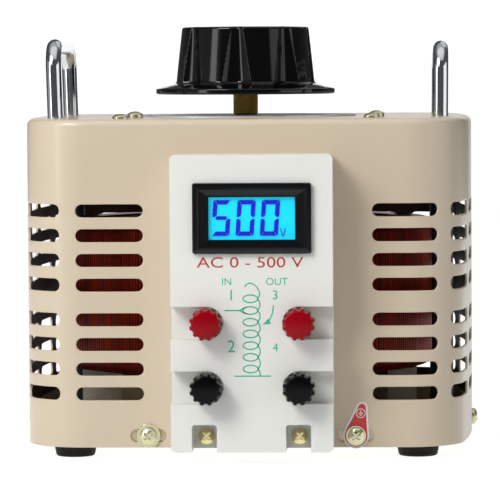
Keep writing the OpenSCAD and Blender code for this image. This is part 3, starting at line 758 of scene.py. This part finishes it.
    def crown(self, s: Array) -> tuple[Array, Array]:
        """Make the rounded top edge and the flat top down to the shaft's hole.

        A row of the edge lies inwards by r(1 - cos a) and up by r sin a. On the flat, each point moves
        straight from the edge towards the point of the hole that lies the same way from the shaft.
        """
        xy, out = self.outline.point(s)
        a = np.radians(np.linspace(0, 90, 9))[:, None, None]
        rim = xy - out * self.edge_r * (1 - np.cos(a))
        rim_z = self.high_z - self.edge_r + self.edge_r * np.sin(a[:, 0, 0])
        shaft = np.array([self.shaft_x, self.outline.middle_y])
        hole = shaft + unit(rim[-1] - shaft) * self.shaft_hole_r
        flat = rim[-1] + (hole - rim[-1]) * np.array(self.crown_shares)[:, None, None]
        rows = np.concatenate([rim, flat])
        heights = np.concatenate([rim_z, np.full(len(flat), self.high_z)])
        points = np.dstack([rows, np.repeat(heights[:, None], len(s), 1)])
        return points.reshape(-1, 3), grid_faces(len(rows), len(s))

    def thicken(self, points: Array, faces: Array) -> Object:
        """Give the sheet its thickness inwards, and soften its punched edges."""
        shell = make_piece("housing_shell", points, faces, POWDER_COAT)
        solid = shell.modifiers.new("sheet", "SOLIDIFY")
        # The inner faces take the dark painted shade of the cover's inside
        shell.data.materials.append(INNER_PAINTED_SHADE.material())
        solid.material_offset = 1
        solid.thickness = self.sheet
        solid.offset = -1.0
        solid.use_even_offset = True
        bevel(shell, self.punched_edge_mm, degrees=50)
        return shell


# ---------- coil ----------


@dataclass
class Coil:
    """The toroidal winding, as separate turns of wire."""

    turns: int = 330
    wire: float = 1.6 * MM
    r_in: float = 48 * MM
    corner_r: float = 4 * MM
    wire_sides: int = 6
    crowding: float = 0.97
    shades: Pair = (0.72, 1.08)

    def build(self) -> None:
        """Wind the coil, each turn flattened where the hole crowds it and in a shade of its own."""
        box = Box("winding")
        r_out, r_in, half_h = box.half[0], self.r_in, box.half[2]
        inset = self.wire / 2
        half_w = (r_out - r_in) / 2 - inset
        path = rounded_rectangle(half_w, half_h - inset, self.corner_r, 4)
        radius, height = path[:, 0] + (r_out + r_in) / 2, path[:, 1]
        along = unit(np.roll(path, -1, 0) - np.roll(path, 1, 0))
        out = np.stack([along[:, 1], -along[:, 0]], axis=-1)
        spin = around(self.wire_sides) + math.pi / self.wire_sides
        width = np.minimum(self.wire / 2, math.pi * radius / self.turns * self.crowding)
        a = around(self.turns)[:, None, None]
        r = radius[None, :, None] + out[None, :, None, 0] * np.cos(spin) * self.wire / 2
        z = height[None, :, None] + out[None, :, None, 1] * np.cos(spin) * self.wire / 2
        side = width[None, :, None] * np.sin(spin)
        points = np.stack(
            [r * np.cos(a) - side * np.sin(a), r * np.sin(a) + side * np.cos(a), z + 0 * a], axis=-1
        ) + box.middle
        m, k = len(path), len(spin)
        quads = grid_faces(m, k, close_rows=True)
        faces = (quads[None] + (np.arange(self.turns) * m * k)[:, None, None]).reshape(-1, 4)
        coil = make_piece("winding_turns", points, faces, ENAMELLED_COPPER, sharp=80)
        shade = np.random.default_rng(7).uniform(*self.shades, self.turns)
        add_shade(coil, "turn_shade", np.repeat(shade, len(coil.data.vertices) // self.turns))
        dress(coil, "housing", "copper_wire", "winding")


# ---------- knob ----------


@dataclass
class Knob:
    """The fluted, skirted control knob and its knurled bush."""

    flutes: int = 8
    first_flute: float = -95.4
    skirt_r_mm: float = 47.0
    foot_r_mm: float = 36.3
    head_r_mm: float = 33.3
    edge_mm: float = 1.3
    crown_mm: float = 0.6
    flute_angles: Pair = (12.6, 5.9)
    flute_depths: Pair = (4.5, 1.5)
    side_start_mm: float = 7.2
    bore_mm: Pair = (6.65, 12.0)
    columns: int = 448

    def build(self) -> None:
        """Build and dress the knob and its bush."""
        box = Box("control_knob")
        self.base = np.array([*box.middle[:2], box.low[2]])
        self.height_mm = (box.high[2] - box.low[2]) / MM
        dress(self.body(), "rotor", "knob_bakelite", "control_knob")
        dress(self.bush(), "rotor", "brass_metal", "knob_bush")

    def body(self) -> Object:
        """Carry a profile round the shaft, and press the flutes into its side.

        The radius at height z and angle a is R(z) less D(z)(1 - (a / w(z))^2) where a, measured from the
        nearest flute, is under the flute's half-width w. Both D and w shrink towards the top edge.
        """
        h, foot, head, edge = self.height_mm, self.foot_r_mm, self.head_r_mm, self.edge_mm
        start, (bore, depth) = self.side_start_mm, self.bore_mm
        rim, top = self.skirt_r_mm, h - self.crown_mm - self.edge_mm
        rise = np.linspace(0, 1, 44)
        side = list(zip(between((foot, head), rise), between((start, top), rise)))
        crown = [(r, h - self.crown_mm * (r / head) ** 2) for r in np.linspace(head - edge - 1, 0.02, 14)]
        profile = [(bore, depth), (bore, 0.9), (14, 0.9), (14, 3.5), (30, 3.5), (34, 1.0), (38, 0.4)]
        profile += arc(rim - 0.7, 0.7, 0.7, -90, 0, 6) + arc(rim - 0.7, 2.3, 0.7, 0, 68, 6)
        profile += [(45, 3.4), (42, 4.2), (foot + 2, 5.3)] + arc(foot + 1.8, 7.1, 1.8, 262, 183, 8)
        profile += side + arc(head - edge, top, edge, 8, 88, 9) + crown + [(0.02, depth)]
        r, z = np.array(profile).T
        a = around(self.columns)
        off = wrapped(a - math.radians(self.first_flute), TURN / self.flutes)
        up = np.clip((z - start) / (top - start), 0, 1)[:, None]
        half, flute = np.radians(between(self.flute_angles, up)), between(self.flute_depths, up)
        fade = np.clip((r - head + 2.4) / 0.9, 0, 1) * np.clip((foot + 2.2 - r) / 1.6, 0, 1) * (z > 5.2)
        radius = (r[:, None] - np.clip(1 - (off / half) ** 2, 0, None) * flute * fade[:, None]) * MM
        return revolved("fluted_knob", radius, z * MM, self.base, BLACK_PHENOLIC, 40)

    def bush(self) -> Object:
        """Make the brass bush with two crossed helical sets of grooves.

        The groove depth is the product of two waves, sin(n a / 2 + k z) and sin(n a / 2 - k z).
        """
        box = Box("knob_bush")
        r0, bottom = box.half[0], box.low[2]
        ridges, groove = 26, 0.6 * MM
        a = around(260)
        z = np.linspace(groove, self.base[2] - bottom + 1 * MM, 40)[:, None]
        k = ridges / 2 / r0
        wave = np.abs(np.sin(ridges / 2 * a + k * z)) * np.abs(np.sin(ridges / 2 * a - k * z))
        knurl = r0 - groove * (1 - np.sqrt(wave))
        inner, top = 5.03 * MM, box.high[2] - bottom
        flat = np.ones_like(a)
        foot, rim = r0 - 0.8 * MM, r0 - 0.4 * MM
        radius = np.vstack([inner * flat, foot * flat, knurl, rim * flat, inner * flat])
        heights = np.array([0, 0, *z[:, 0], top, top])
        piece = revolved("knurled_bush", radius, heights, [*self.base[:2], bottom], KNURLED_BRASS, 50)
        x, y = (coordinates(piece.data)[:, :2] - self.base[:2]).T
        # Painted shade: darken the bush from its crests down to nearly black at the bottoms of the grooves
        add_shade(piece, "groove_painted_shade", np.interp(np.hypot(x, y), [r0 - groove, r0], [0.04, 1.0]))
        return piece


# ---------- dial ----------


@dataclass
class DialScale:
    """The printed scale on the plate under the knob: black ticks and plain numbers."""

    steps: int = 25
    first_degrees: float = 247.5
    step_degrees: float = 12.6
    long_tick: Pair = (53.4, 0.6)
    short_tick: Pair = (55.0, 0.4)
    tick_end_mm: float = 57.0
    number_r_mm: float = 50.6
    number_mm: float = 3.6
    lift_mm: float = 0.05

    def build(self) -> None:
        """Ink every tick, and a number beside each fifth one."""
        box = Box("dial_plate")
        self.centre = np.array([*box.middle[:2], box.high[2]])
        ticks = []
        for i in range(self.steps + 1):
            inner, width = self.short_tick if i % 5 else self.long_tick
            ticks.append((self.turned(np.array([[inner, 0], [self.tick_end_mm, 0]]), i), width))
        self.ink("dial_ticks", *strokes(ticks, self.lift_mm))
        for i in range(0, self.steps + 1, 5):
            points, faces = letters(str(20 * i), self.number_mm, self.lift_mm)
            upright = points[:, :2] @ np.array([[0, -1], [1, 0]])
            points[:, :2] = self.turned(upright + [self.number_r_mm, 0], i)
            self.ink(f"dial_number_{20 * i}", points, faces)

    def turned(self, xy: Array, step: int) -> Array:
        """Turn points on the plate to a step of the scale."""
        a = math.radians(self.first_degrees - step * self.step_degrees)
        return xy @ np.array([[math.cos(a), math.sin(a)], [-math.sin(a), math.cos(a)]])

    def ink(self, name: str, points: Array, faces: list) -> None:
        """Lay one printed shape on the plate."""
        piece = make_piece(name, points * MM + self.centre, faces, BLACK_INK)
        dress(piece, "housing", "dial_alloy")


# ---------- handles ----------


@dataclass
class Handle:
    """A chrome rod, bent twice, that stands on two legs and leans a little outwards."""

    node: str
    side: int
    lean_degrees: float
    rod_mm: float = 8.0
    bend_mm: float = 12.0
    half_length_mm: float = 44.0
    leg_mm: float = 13.0
    end_chamfer_mm: float = 0.5
    sides: int = 40

    def build(self) -> None:
        """Sweep a circle along the legs, the two quarter circles and the straight top."""
        box = Box(self.node)
        cover_top = Box("housing_cover").high[2]
        lean = math.radians(self.lean_degrees) * self.side
        r = self.rod_mm / 2
        top = (box.high[2] - cover_top) / MM / math.cos(lean) - r
        turn, flat = self.bend_mm, self.half_length_mm - self.bend_mm
        bend = [(flat + y, top - turn + z) for y, z in arc(0, 0, turn, 0, 90, 28)]
        leg = [(self.half_length_mm, z) for z in np.linspace(-self.leg_mm, top - turn, 9)[:-1]]
        straight = [(y, top) for y in np.linspace(flat, 0, 8)[1:]]
        half = np.array(leg + bend + straight)
        path = np.vstack([half, half[-2::-1] * [-1, 1]])
        along = unit(np.gradient(path, axis=0))
        out = np.column_stack([-along[:, 1], along[:, 0]])
        caps = np.array([0.0, r - self.end_chamfer_mm, r])
        path = np.vstack([path[[0, 0]], path, path[[-1, -1]]])
        out = np.vstack([out[[0, 0]], out, out[[-1, -1]]])
        radius = np.concatenate([caps, np.full(len(path) - 6, r), caps[::-1]])
        path[[2, -3]] += [0, self.end_chamfer_mm]
        a = around(self.sides)
        aside, across = radius[:, None] * np.sin(a), radius[:, None] * np.cos(a)
        local = np.stack(
            [aside, path[:, :1] + out[:, :1] * across, path[:, 1:] + out[:, 1:] * across], axis=-1
        ) * MM
        x = local[..., 0] * math.cos(lean) + local[..., 2] * math.sin(lean)
        z = local[..., 2] * math.cos(lean) - local[..., 0] * math.sin(lean)
        inner_x = box.low[0] if self.side > 0 else box.high[0]
        foot_x = inner_x + self.side * (r / math.cos(lean) + self.leg_mm * math.sin(abs(lean))) * MM
        points = np.stack([x + foot_x, local[..., 1] + box.middle[1], z + cover_top], axis=-1)
        rod = make_piece(self.node + "_rod", points, grid_faces(len(path), self.sides), CHROME, sharp=60)
        dress(rod, "housing", "handle_chrome", self.node)


# ---------- front ----------


@dataclass
class Front:
    """Places in the terminal board's own frame: x from its middle, y up from the floor, z out of it."""

    def __post_init__(self) -> None:
        """Read the board's place from the frame."""
        self.box = Box("terminal_board")
        self.x, self.y_front = self.box.middle[0], self.box.low[1]

    def add(
        self, name: str, points: Array, faces: Array | list, finish: Finish, slot: str, *nodes: str,
        sharp: float = SMOOTH_DEGREES,
    ) -> None:
        """Make and dress a piece of the housing whose points are (x, y, z) in millimetres on the board."""
        p = points * MM
        places = np.column_stack([self.x + p[:, 0], self.y_front - p[:, 2], p[:, 1]])
        dress(make_piece(name, places, faces, finish, sharp), "housing", slot, *nodes)


@dataclass
class TerminalBoard:
    """The moulded board with its printed coil diagram and generic marks."""

    front: Front
    edge_mm: float = 2.3
    lift_mm: float = 0.06
    line_mm: float = 0.62

    def build(self) -> None:
        """Round the board's edges and print on it."""
        dress(bevelled_board(self.front.box, self.edge_mm), "housing", "board_plastic", "terminal_board")
        self.front.add("coil_diagram", *strokes(self.diagram(), self.lift_mm), TEAL_INK, "board_plastic")
        self.mark("range_mark", "AC 0 - 500 V", -0.6, 100.7, 5.4, RED_INK, 52.6)
        for text, x in (("IN", -12.2), ("OUT", 12.6)):
            self.mark("side_mark_" + text.lower(), text, x, 91.2, 3.7)
        for text, x, y, size in (
            ("1", -10.0, 84.5, 5.4), ("2", -10.0, 59.2, 6.2), ("3", 11.7, 84.6, 4.6), ("4", 11.7, 58.6, 4.2)
        ):
            self.mark("post_mark_" + text, text, x, y, size)

    def mark(
        self, name: str, text: str, x: float, y: float, size: float, finish: Finish = TEAL_INK,
        width: float = 0.0,
    ) -> None:
        """Print a generic mark about (x, y), with letters size high, fitted to a width if one is given."""
        flat, faces = letters(text, size, self.lift_mm)
        stretch = width / np.ptp(flat[:, 0]) if width else 1.0
        self.front.add(name, flat * [stretch, 1, 1] + [x, y, 0], faces, finish, "board_plastic")

    def diagram(self) -> list[tuple[Array, float]]:
        """Draw the winding, its taps and the arrow of the brush.

        A loop is x = x0 - w (1 - cos t) / 2, y = y0 - h sin t / 2, and from one loop to the next the line
        bulges by b sin s to the right.
        """
        top, pitch, cross, loop_w, loop_h, bulge = 82.7, 5.79, 3.1, 7.3, 3.75, 1.15
        t, s = np.linspace(0, TURN, 25), np.linspace(0, math.pi, 11)[1:-1]
        hook = [(-3.4, 88.6), (-2.5, 89.7), (-1.2, 90.35), (0.1, 90.3), (1.5, 89.6), (2.8, 88.3), (3.7, 86.8),
                (4.1, 85.4), (3.8, 83.9)]
        winding = [np.array(hook)]
        for i in range(7):
            y = top - i * pitch
            loop = [cross - loop_w * (1 - np.cos(t)) / 2, y - loop_h * np.sin(t) / 2]
            winding.append(np.column_stack(loop))
            if i < 6:
                winding.append(np.column_stack([cross + bulge * np.sin(s), y - pitch * s / math.pi]))
        winding.append(np.array([(3.8, 46.9), (4.2, 45.6), (4.1, 44.4)]))
        tap = top - pitch
        fork = [
            np.array([(-5.8, tap), (-4.6, tap + side * 0.7), (-2.6, tap + side * 1.8)]) for side in (-1, 1)
        ]
        lead = np.array([(10.8, 79.5), (10.75, 78.2), (10.5, 76.4), (10.1, 74.9), (9.5, 73.4), (8.6, 71.9)])
        head = np.array([(8.9, 71.6), (7.4, 70.8), (5.5, 69.9)])
        base = np.array([(-8.6, 44.4), (0, 44.4), (9.4, 44.4)])
        wire = np.array([(-13.3, tap), (-9, tap), (-5.6, tap)])
        thin = [(path, self.line_mm) for path in (np.vstack(winding), base, wire, *fork, lead)]
        return thin + [(head, np.array([2.9, 1.5, 0.1]))]


def bevelled_board(box: Box, edge_mm: float) -> Object:
    """Round the terminal board: wide round its front rim, fine on every other edge."""
    piece = copied("terminal_board", "moulded_board", WHITE_ABS)
    near_rim, fine = 2.6 * MM, 0.18
    with editing(piece.data) as work:
        dissolve_flat(work, set())
        bmesh.ops.triangulate(work, faces=[face for face in work.faces if len(face.verts) > 4])
        weights = work.edges.layers.float.new("bevel_weight_edge")
        for edge in work.edges:
            if not edge.is_manifold or edge.calc_face_angle(0) < math.radians(SHARP_DEGREES):
                continue
            ends = np.array([v.co[:] for v in edge.verts])
            on_front = np.all(np.abs(ends[:, 1] - box.low[1]) < 1e-5)
            rim = np.minimum(np.abs(ends - box.low), np.abs(ends - box.high))[:, [0, 2]].min(axis=1)
            edge[weights] = 1.0 if on_front and np.all(rim < near_rim) else fine
    bevel(piece, edge_mm, 5, "WEIGHT")
    keep_flat(piece)
    return piece


@dataclass
class Meter:
    """The panel voltmeter: bezel, window, lit crystal and its figures."""

    front: Front
    figures: str = "500"
    slant: float = 0.07
    pitch: float = 12.0
    digit: Pair = (9.0, 17.7)
    bar: float = 2.2
    gap: float = 0.22
    mask: Pair = (21.35, 10.5)
    figures_at: Pair = (-3.05, 0.2)
    volt_at: Pair = (15.35, -6.75)
    depths: Pair = (-0.5, -0.2)

    def build(self) -> None:
        """Build and dress the meter's visible pieces."""
        box = Box("meter_bezel")
        self.centre = np.array([(box.middle[0] - self.front.x) / MM, box.middle[2] / MM, 0])
        self.half_w, self.half_h = box.half[0] / MM, box.half[2] / MM
        self.rise = (box.high[1] - box.low[1]) / MM
        self.bezel()
        self.segments()
        repaint(frame["nodes"]["display_panel"], LIT_CRYSTAL.material())
        repaint(frame["nodes"]["meter_window"], clear_plastic())

    def bezel(self) -> None:
        """Stack rounded rectangles: rim, flat band, bevelled inner edge, recess and window edge."""
        w, h, top = self.half_w, self.half_h, self.rise
        rows = [
            (0, 0.05, 1.2), (0, top - 0.7, 1.2), (0.2, top - 0.2, 1.1), (0.7, top, 0.8), (2.5, top, 0.5),
            (3.0, top - 0.45, 0.4), (3.3, 1.3, 0.3), (3.4, 1.25, 0.3),
        ]
        loops = [(rounded_rectangle(w - inset, h - inset, r), z) for inset, z, r in rows]
        mask = rounded_rectangle(*self.mask, 0.3)
        loops += [(mask, 1.25), (mask, 0.1), (rounded_rectangle(w - 0.4, h - 0.4, 1.0), 0.02)]
        faces = grid_faces(len(loops), len(mask), close_rows=True)
        self.front.add("bezel_frame", stacked(loops) + self.centre, faces, BLACK_ABS, "meter_plastic",
                       "meter_bezel", sharp=30)

    def bars(self) -> dict[str, Array]:
        """Outline the seven bars of a figure, mitred where they meet at the corners."""
        w, h, b, g = self.digit[0] / 2, self.digit[1] / 2, self.bar, self.gap
        top = np.array([(-w + g + 0.4, h), (w - g - 0.4, h), (w - b - g + 0.3, h - b),
                        (-w + b + g - 0.3, h - b)])
        right = np.array([(w, h - g - 0.4), (w, g + 0.5), (w - b / 2, g + 0.1), (w - b, g + b / 2 + 0.2),
                          (w - b, h - b - g + 0.1), (w - 0.5, h - g)])
        across = np.array([(-w + b * 0.7, 0), (-w + b, b * 0.42), (w - b, b * 0.42), (w - b * 0.7, 0),
                           (w - b, -b * 0.42), (-w + b, -b * 0.42)])
        flip, fall = np.array([-1, 1]), np.array([1, -1])
        return {"a": top, "b": right, "c": right * fall, "d": top * fall, "e": -right, "f": right * flip,
                "g": across}

    def segments(self) -> None:
        """Cut the slanted bars of the figures, and a small V for volts, as thin plates."""
        lit = {"5": "afgcd", "0": "abcdef"}
        bars = self.bars()
        shapes = []
        for i, figure in enumerate(self.figures):
            for key in lit[figure]:
                shape = bars[key]
                lean = np.column_stack([self.slant * shape[:, 1], 0 * shape[:, 0]])
                x, y = self.figures_at
                shapes.append(shape + lean + [(i - 1) * self.pitch + x, y])
        for side in (-1, 1):
            leg = np.array([[0, -2.0], [0.5, -2.0], [1.4, 1.9], [0.95, 1.9]]) * [side, 1]
            shapes.append(leg[::side] + self.volt_at)
        points, faces = plates([shape + self.centre[:2] for shape in shapes], *self.depths)
        self.front.add("crystal_figures", points, faces, DARK_CRYSTAL, "display_ink", "display_digits")


@dataclass
class BindingPost:
    """One scalloped cap on its stud."""

    node: str
    finish: Finish
    slot: str
    scallops: int = 12
    columns: int = 288
    groove_mm: Pair = (1.25, 1.0)
    face_r_mm: float = 6.7
    neck_r_mm: float = 6.2
    bore_r_mm: float = 3.05
    bore_depth_mm: float = 4.0
    head_mm: float = 12.7

    def build(self) -> None:
        """Carry the cap's profile round its axis, with round grooves pressed into the head.

        The radius at angle a is R less d sqrt(1 - (R a / w)^2), where a is measured from the nearest
        groove and w is half its width.
        """
        box = Box(self.node)
        length = (box.high[1] - box.low[1]) / MM
        big = box.half[0] / MM
        face, neck, bore, depth = self.face_r_mm, self.neck_r_mm, self.bore_r_mm, self.bore_depth_mm
        head = length - self.head_mm
        dome = [(r, length - 0.1 - 0.5 * (r / face) ** 2, 0.0) for r in np.linspace(face - 0.3, 0.02, 9)]
        profile = [
            (bore, depth, 0), (bore, 0, 0), (neck - 0.2, 0, 0), (neck, 0.25, 0), (neck, head, 0),
            (big - 1.4, head, 0.4), (big - 0.25, head + 0.3, 1), (big, head + 0.8, 1), (big, length - 3.2, 1),
            (big - 0.15, length - 2.3, 1), (big - 0.55, length - 1.6, 1), (face + 0.4, length - 1.15, 0.7),
            (face + 0.1, length - 1.1, 0.15), (face, length - 0.9, 0), (face - 0.1, length - 0.7, 0),
            *dome, (0.02, depth, 0),
        ]
        r, z, share = np.array(profile).T
        a = around(self.columns)
        off = wrapped(a, TURN / self.scallops) * big / self.groove_mm[0]
        cut = self.groove_mm[1] * np.sqrt(np.clip(1 - off**2, 0, None)) * share[:, None]
        radius = (r[:, None] - cut) * MM
        centre = [box.middle[0], box.middle[2], 0]
        heights = box.high[1] - z * MM
        cap = revolved(self.node + "_moulding", radius, heights, centre, self.finish, 38, axes=(0, 2, 1))
        dress(cap, self.node, self.slot, self.node)


@dataclass
class GroundTag:
    """The earth tag: a white-edged red teardrop with the earth sign in a ring."""

    front: Front
    x: float = 51.0
    y: float = 12.5
    plate_mm: float = 0.5
    enamel_mm: float = 0.06
    line_mm: float = 0.35
    lift_mm: float = 0.05
    hole_r_mm: float = 2.1
    big_r_mm: float = 6.5
    small_r_mm: float = 2.8
    small_at: Pair = (3.0, 14.0)
    edge_mm: float = 0.9
    sign_at: Pair = (2.35, 11.2)
    ring_r_mm: float = 2.2

    def teardrop(self, inset: float) -> Array:
        """Outline two circles and the lines that touch both, moved inwards by inset."""
        big, small, (dx, dy) = self.big_r_mm - inset, self.small_r_mm - inset, self.small_at
        way = math.atan2(dy, dx)
        lean = math.acos((big - small) / math.hypot(dx, dy))
        low = np.linspace(way + lean, way + TURN - lean, 40)
        high = np.linspace(way - lean, way + lean, 16)
        return np.concatenate([
            np.column_stack([big * np.cos(low), big * np.sin(low)]),
            np.column_stack([dx + small * np.cos(high), dy + small * np.sin(high)]),
        ]) + [self.x, self.y]

    def build(self) -> None:
        """Stack the tag's enamel layers and its sign."""
        base = (self.front.y_front - Box("ground_tag").high[1]) / MM
        plate = base + self.plate_mm
        enamel = plate + self.enamel_mm
        self.layer("tag_plate", 0, base, plate, TAG_WHITE, "ground_tag")
        self.layer("tag_enamel", self.edge_mm, plate, enamel, TAG_RED)
        a = np.linspace(0, TURN, 33)
        centre = np.array([self.x + self.sign_at[0], self.y + self.sign_at[1]])
        ring = centre + self.ring_r_mm * np.column_stack([np.cos(a), np.sin(a)])
        sign = [ring, centre + [[0, 1.5], [0, 0.1]]]
        sign += [centre + [[-w, y], [w, y]] for w, y in ((1.3, 0.1), (0.85, -0.55), (0.4, -1.2))]
        points, faces = strokes([(path, self.line_mm) for path in sign], self.lift_mm)
        self.front.add("earth_sign", points + [0, 0, enamel], faces, TAG_WHITE, "tag_red")

    def layer(self, name: str, inset: float, base: float, top: float, finish: Finish, *nodes: str) -> None:
        """Make one layer, with the screw's hole through it, as rings from the hole to the edge."""
        edge = self.teardrop(inset)
        hole = [self.x, self.y] + unit(edge - [self.x, self.y]) * self.hole_r_mm
        points = stacked([(hole, base), (edge, base), (edge, top), (hole, top)])
        self.front.add(name, points, grid_faces(4, len(edge), close_rows=True), finish, "tag_red", *nodes)


@dataclass
class Fittings:
    """Carried-over pieces that only need rounded edges and a finish."""

    rounded: tuple[tuple[Finish, float, str], ...] = (
        (YELLOW_ZINC, 0.25, "top_screws cover_screws ground_screw"),
        (GOLD_ZINC, 0.25, "board_screws"),
        (YELLOW_ZINC, 0.2, "foot_screws"),
        (YELLOW_ZINC, 0.15, "cover_washers"),
        (BLACK_RUBBER, 0.3, "foot_front_left foot_front_right foot_rear_left foot_rear_right"),
    )
    plain: tuple[tuple[Finish, str], ...] = (
        (BASE_STEEL, "base_plate"),
        (PRESSED_STEEL, "top_frame shaft knob_set_screw brush_spring"),
        (PILLAR_PAINT, "tie_pillars"),
        (SATIN_DIAL, "dial_plate"),
        (BLACK_ABS, "meter_case"),
        (TURNED_BRASS, "terminal_studs terminal_nuts lower_bush upper_bush pickup_contact slip_ring"),
        (TURNED_BRASS, "input_line_washer input_neutral_washer output_line_washer output_neutral_washer"),
        (SILICON_STEEL, "core"),
        (PRESSBOARD, "core_insulation"),
        (BARE_COPPER, "contact_track"),
        (BRACKET_PAINT, "coil_supports"),
        (ALLOY, "centre_hub lower_clamp_disc upper_clamp_disc brush_arm arm_hub brush_holder"),
        (YELLOW_ZINC, "hub_bolts travel_stop handle_nuts"),
        (RED_PVC, "output_lead"),
        (BLACK_PVC, "supply_lead"),
        (CARBON, "carbon_brush"),
    )

    def build(self) -> None:
        """Dress every carried-over piece."""
        bodies = frame["record"]["behaviour"]["bodies"]
        body_of = {node: body for body, nodes in bodies.items() for node in nodes}
        slot_of = {entry["node"]: entry["material_slot"] for entry in frame["record"]["subparts"]}
        for finish, width, nodes in self.rounded:
            for node in nodes.split():
                dress(bevelled_copy(node, finish, width), body_of[node], slot_of[node], node)
        for finish, nodes in self.plain:
            for node in nodes.split():
                repaint(frame["nodes"][node], finish.material())


# ---------- studio ----------


@dataclass
class Studio:
    """Pale floor, soft lamps, a white surround and the camera."""

    scale_px_per_m: float = 2006.6
    distance: float = 1.8329
    eye_x: float = 0.0834
    eye_z: float = 0.2005
    aim_x: float = 0.0034
    aim_z: float = 0.10555
    roll: float = -0.0058
    frame_px: float = 500.0
    sensor_mm: float = 36.0
    lamp_distance: float = 1.9
    # Name, half of the width, (y, z) of the near edge and of the far one, and glow. The floor keeps the
    # object's shadow, and the backdrop is only as wide as the view needs
    sheets: tuple[tuple[str, float, Pair, Pair, float], ...] = (
        ("floor", 3.0, (-1.1, 0), (3.0, 0), 0.9),
        ("backdrop", 0.6, (2.9, 0), (2.9, 0.75), 1.0),
    )
    # Name, angle from the front, angle above the floor, size and power
    lamps: tuple[tuple[str, float, float, Pair, float], ...] = (
        ("key", -38, 36, (0.8, 0.8), 24.5),
        ("strip", -54, 9, (0.36, 0.9), 3.6),
        ("left_card", -70, 8, (1.9, 0.9), 1.6),
        ("right_card", 72, 8, (1.7, 0.9), 5.8),
        ("top", 10, 72, (2.6, 2.0), 7.0),
        ("rear", 155, 38, (1.0, 1.0), 2.0),
    )

    def build(self) -> None:
        """Set up everything that isn't the object."""
        self.camera(Box("housing_cover").low[1])
        for name, half, (near, low), (far, high), glow in self.sheets:
            corners = [(-half, near, low), (half, near, low), (half, far, high), (-half, far, high)]
            self.sheet(name, corners, glow)
        self.world()
        for lamp in self.lamps:
            self.lamp(*lamp)
        bpy.context.scene.view_settings.view_transform = "Standard"

    def camera(self, front_y: float) -> None:
        """Place the camera so that the front plane shows at the wanted scale."""
        data = bpy.data.cameras.new("camera")
        data.sensor_width = self.sensor_mm
        data.lens = self.scale_px_per_m * self.distance / self.frame_px * self.sensor_mm
        data.clip_end = 20
        eye = np.array([self.eye_x, front_y - self.distance, self.eye_z])
        aim = np.array([self.aim_x, front_y, self.aim_z])
        camera = self.aimed("camera", data, eye, aim)
        camera.rotation_euler.rotate_axis("Z", self.roll)
        bpy.context.scene.camera = camera

    def aimed(self, name: str, data: bpy.types.ID, eye: Array, aim: Array) -> Object:
        """Put a camera or lamp at a point, looking at another."""
        thing = new_object(name, data)
        thing.location = eye
        thing.rotation_euler = Vector(aim - eye).to_track_quat("-Z", "Y").to_euler()
        return thing

    def lamp(self, name: str, azimuth: float, height: float, size: Pair, power: float) -> None:
        """Add a soft box that looks at the object, at an angle from the front and one above the floor."""
        data = bpy.data.lights.new(name, "AREA")
        data.shape = "RECTANGLE"
        data.size, data.size_y = size
        data.energy = power
        a, h = math.radians(azimuth), math.radians(height)
        way = np.array([math.sin(a) * math.cos(h), -math.cos(a) * math.cos(h), math.sin(h)])
        self.aimed(name, data, self.lamp_distance * way + MIDDLE, MIDDLE)

    def sheet(self, name: str, corners: list[tuple[float, float, float]], glow: float) -> None:
        """Make a white sheet: lit for soft light, glowing for the camera and for shiny and clear things."""
        sheet = make_piece(name, np.array(corners), [[0, 1, 2, 3]], POWDER_COAT)
        material, tree, plain = new_material("matt_paper_" + name, {
            "Base Color": linear("E6E6E6"), "Roughness": 0.9, "Specular IOR Level": 0.1
        })
        path = add_node(tree, "LightPath")
        shiny = add_node(
            tree, "Math", {"operation": "MAXIMUM"},
            {0: path.outputs["Is Glossy Ray"], 1: path.outputs["Is Transmission Ray"]},
        )
        seen = add_node(
            tree, "Math", {"operation": "MAXIMUM"}, {0: path.outputs["Is Camera Ray"], 1: shiny.outputs[0]}
        )
        weak = add_node(tree, "BsdfDiffuse", {"Color": (0.3, 0.3, 0.3, 1.0)})
        light = add_node(tree, "Emission", {"Color": linear("FFFFFF"), "Strength": glow})
        white = add_node(tree, "AddShader", None, {0: weak.outputs[0], 1: light.outputs[0]})
        parts = {0: seen.outputs[0], 1: plain.outputs[0], 2: white.outputs[0]}
        mix = add_node(tree, "MixShader", None, parts)
        tree.links.new(mix.outputs[0], tree.nodes["Material Output"].inputs["Surface"])
        repaint(sheet, material)

    def world(self) -> None:
        """Fill the room with a low neutral light that grows towards the ceiling."""
        world = bpy.data.worlds.new("room")
        bpy.context.scene.world = world
        world.use_nodes = True
        tree = world.node_tree
        tree.nodes.clear()
        way = add_node(tree, "NewGeometry")
        height = add_node(tree, "SeparateXYZ", None, {0: way.outputs["Incoming"]})
        glow = add_node(
            tree, "MapRange", {"From Min": -0.6, "From Max": -0.9, "To Min": 0.1, "To Max": 0.6},
            {"Value": height.outputs["Z"]},
        )
        room = add_node(tree, "Background", {"Color": linear("F4F6FA")}, {"Strength": glow.outputs["Result"]})
        add_node(tree, "OutputWorld", None, {"Surface": room.outputs[0]})


def main() -> None:
    """Build every sub-assembly in order."""
    logging.basicConfig(level=logging.INFO, format="%(name)s: %(message)s")
    front = Front()
    Studio().build()
    Housing().build()
    Coil().build()
    Knob().build()
    DialScale().build()
    Handle("handle_left", -1, 1.6).build()
    Handle("handle_right", 1, 0.5).build()
    TerminalBoard(front).build()
    Meter(front).build()
    GroundTag(front).build()
    for circuit in ("input", "output"):
        BindingPost(circuit + "_line_cap", RED_PHENOLIC, "cap_red").build()
        BindingPost(circuit + "_neutral_cap", CAP_BLACK, "cap_black").build()
    Fittings().build()


if __name__ == "__main__":
    main()
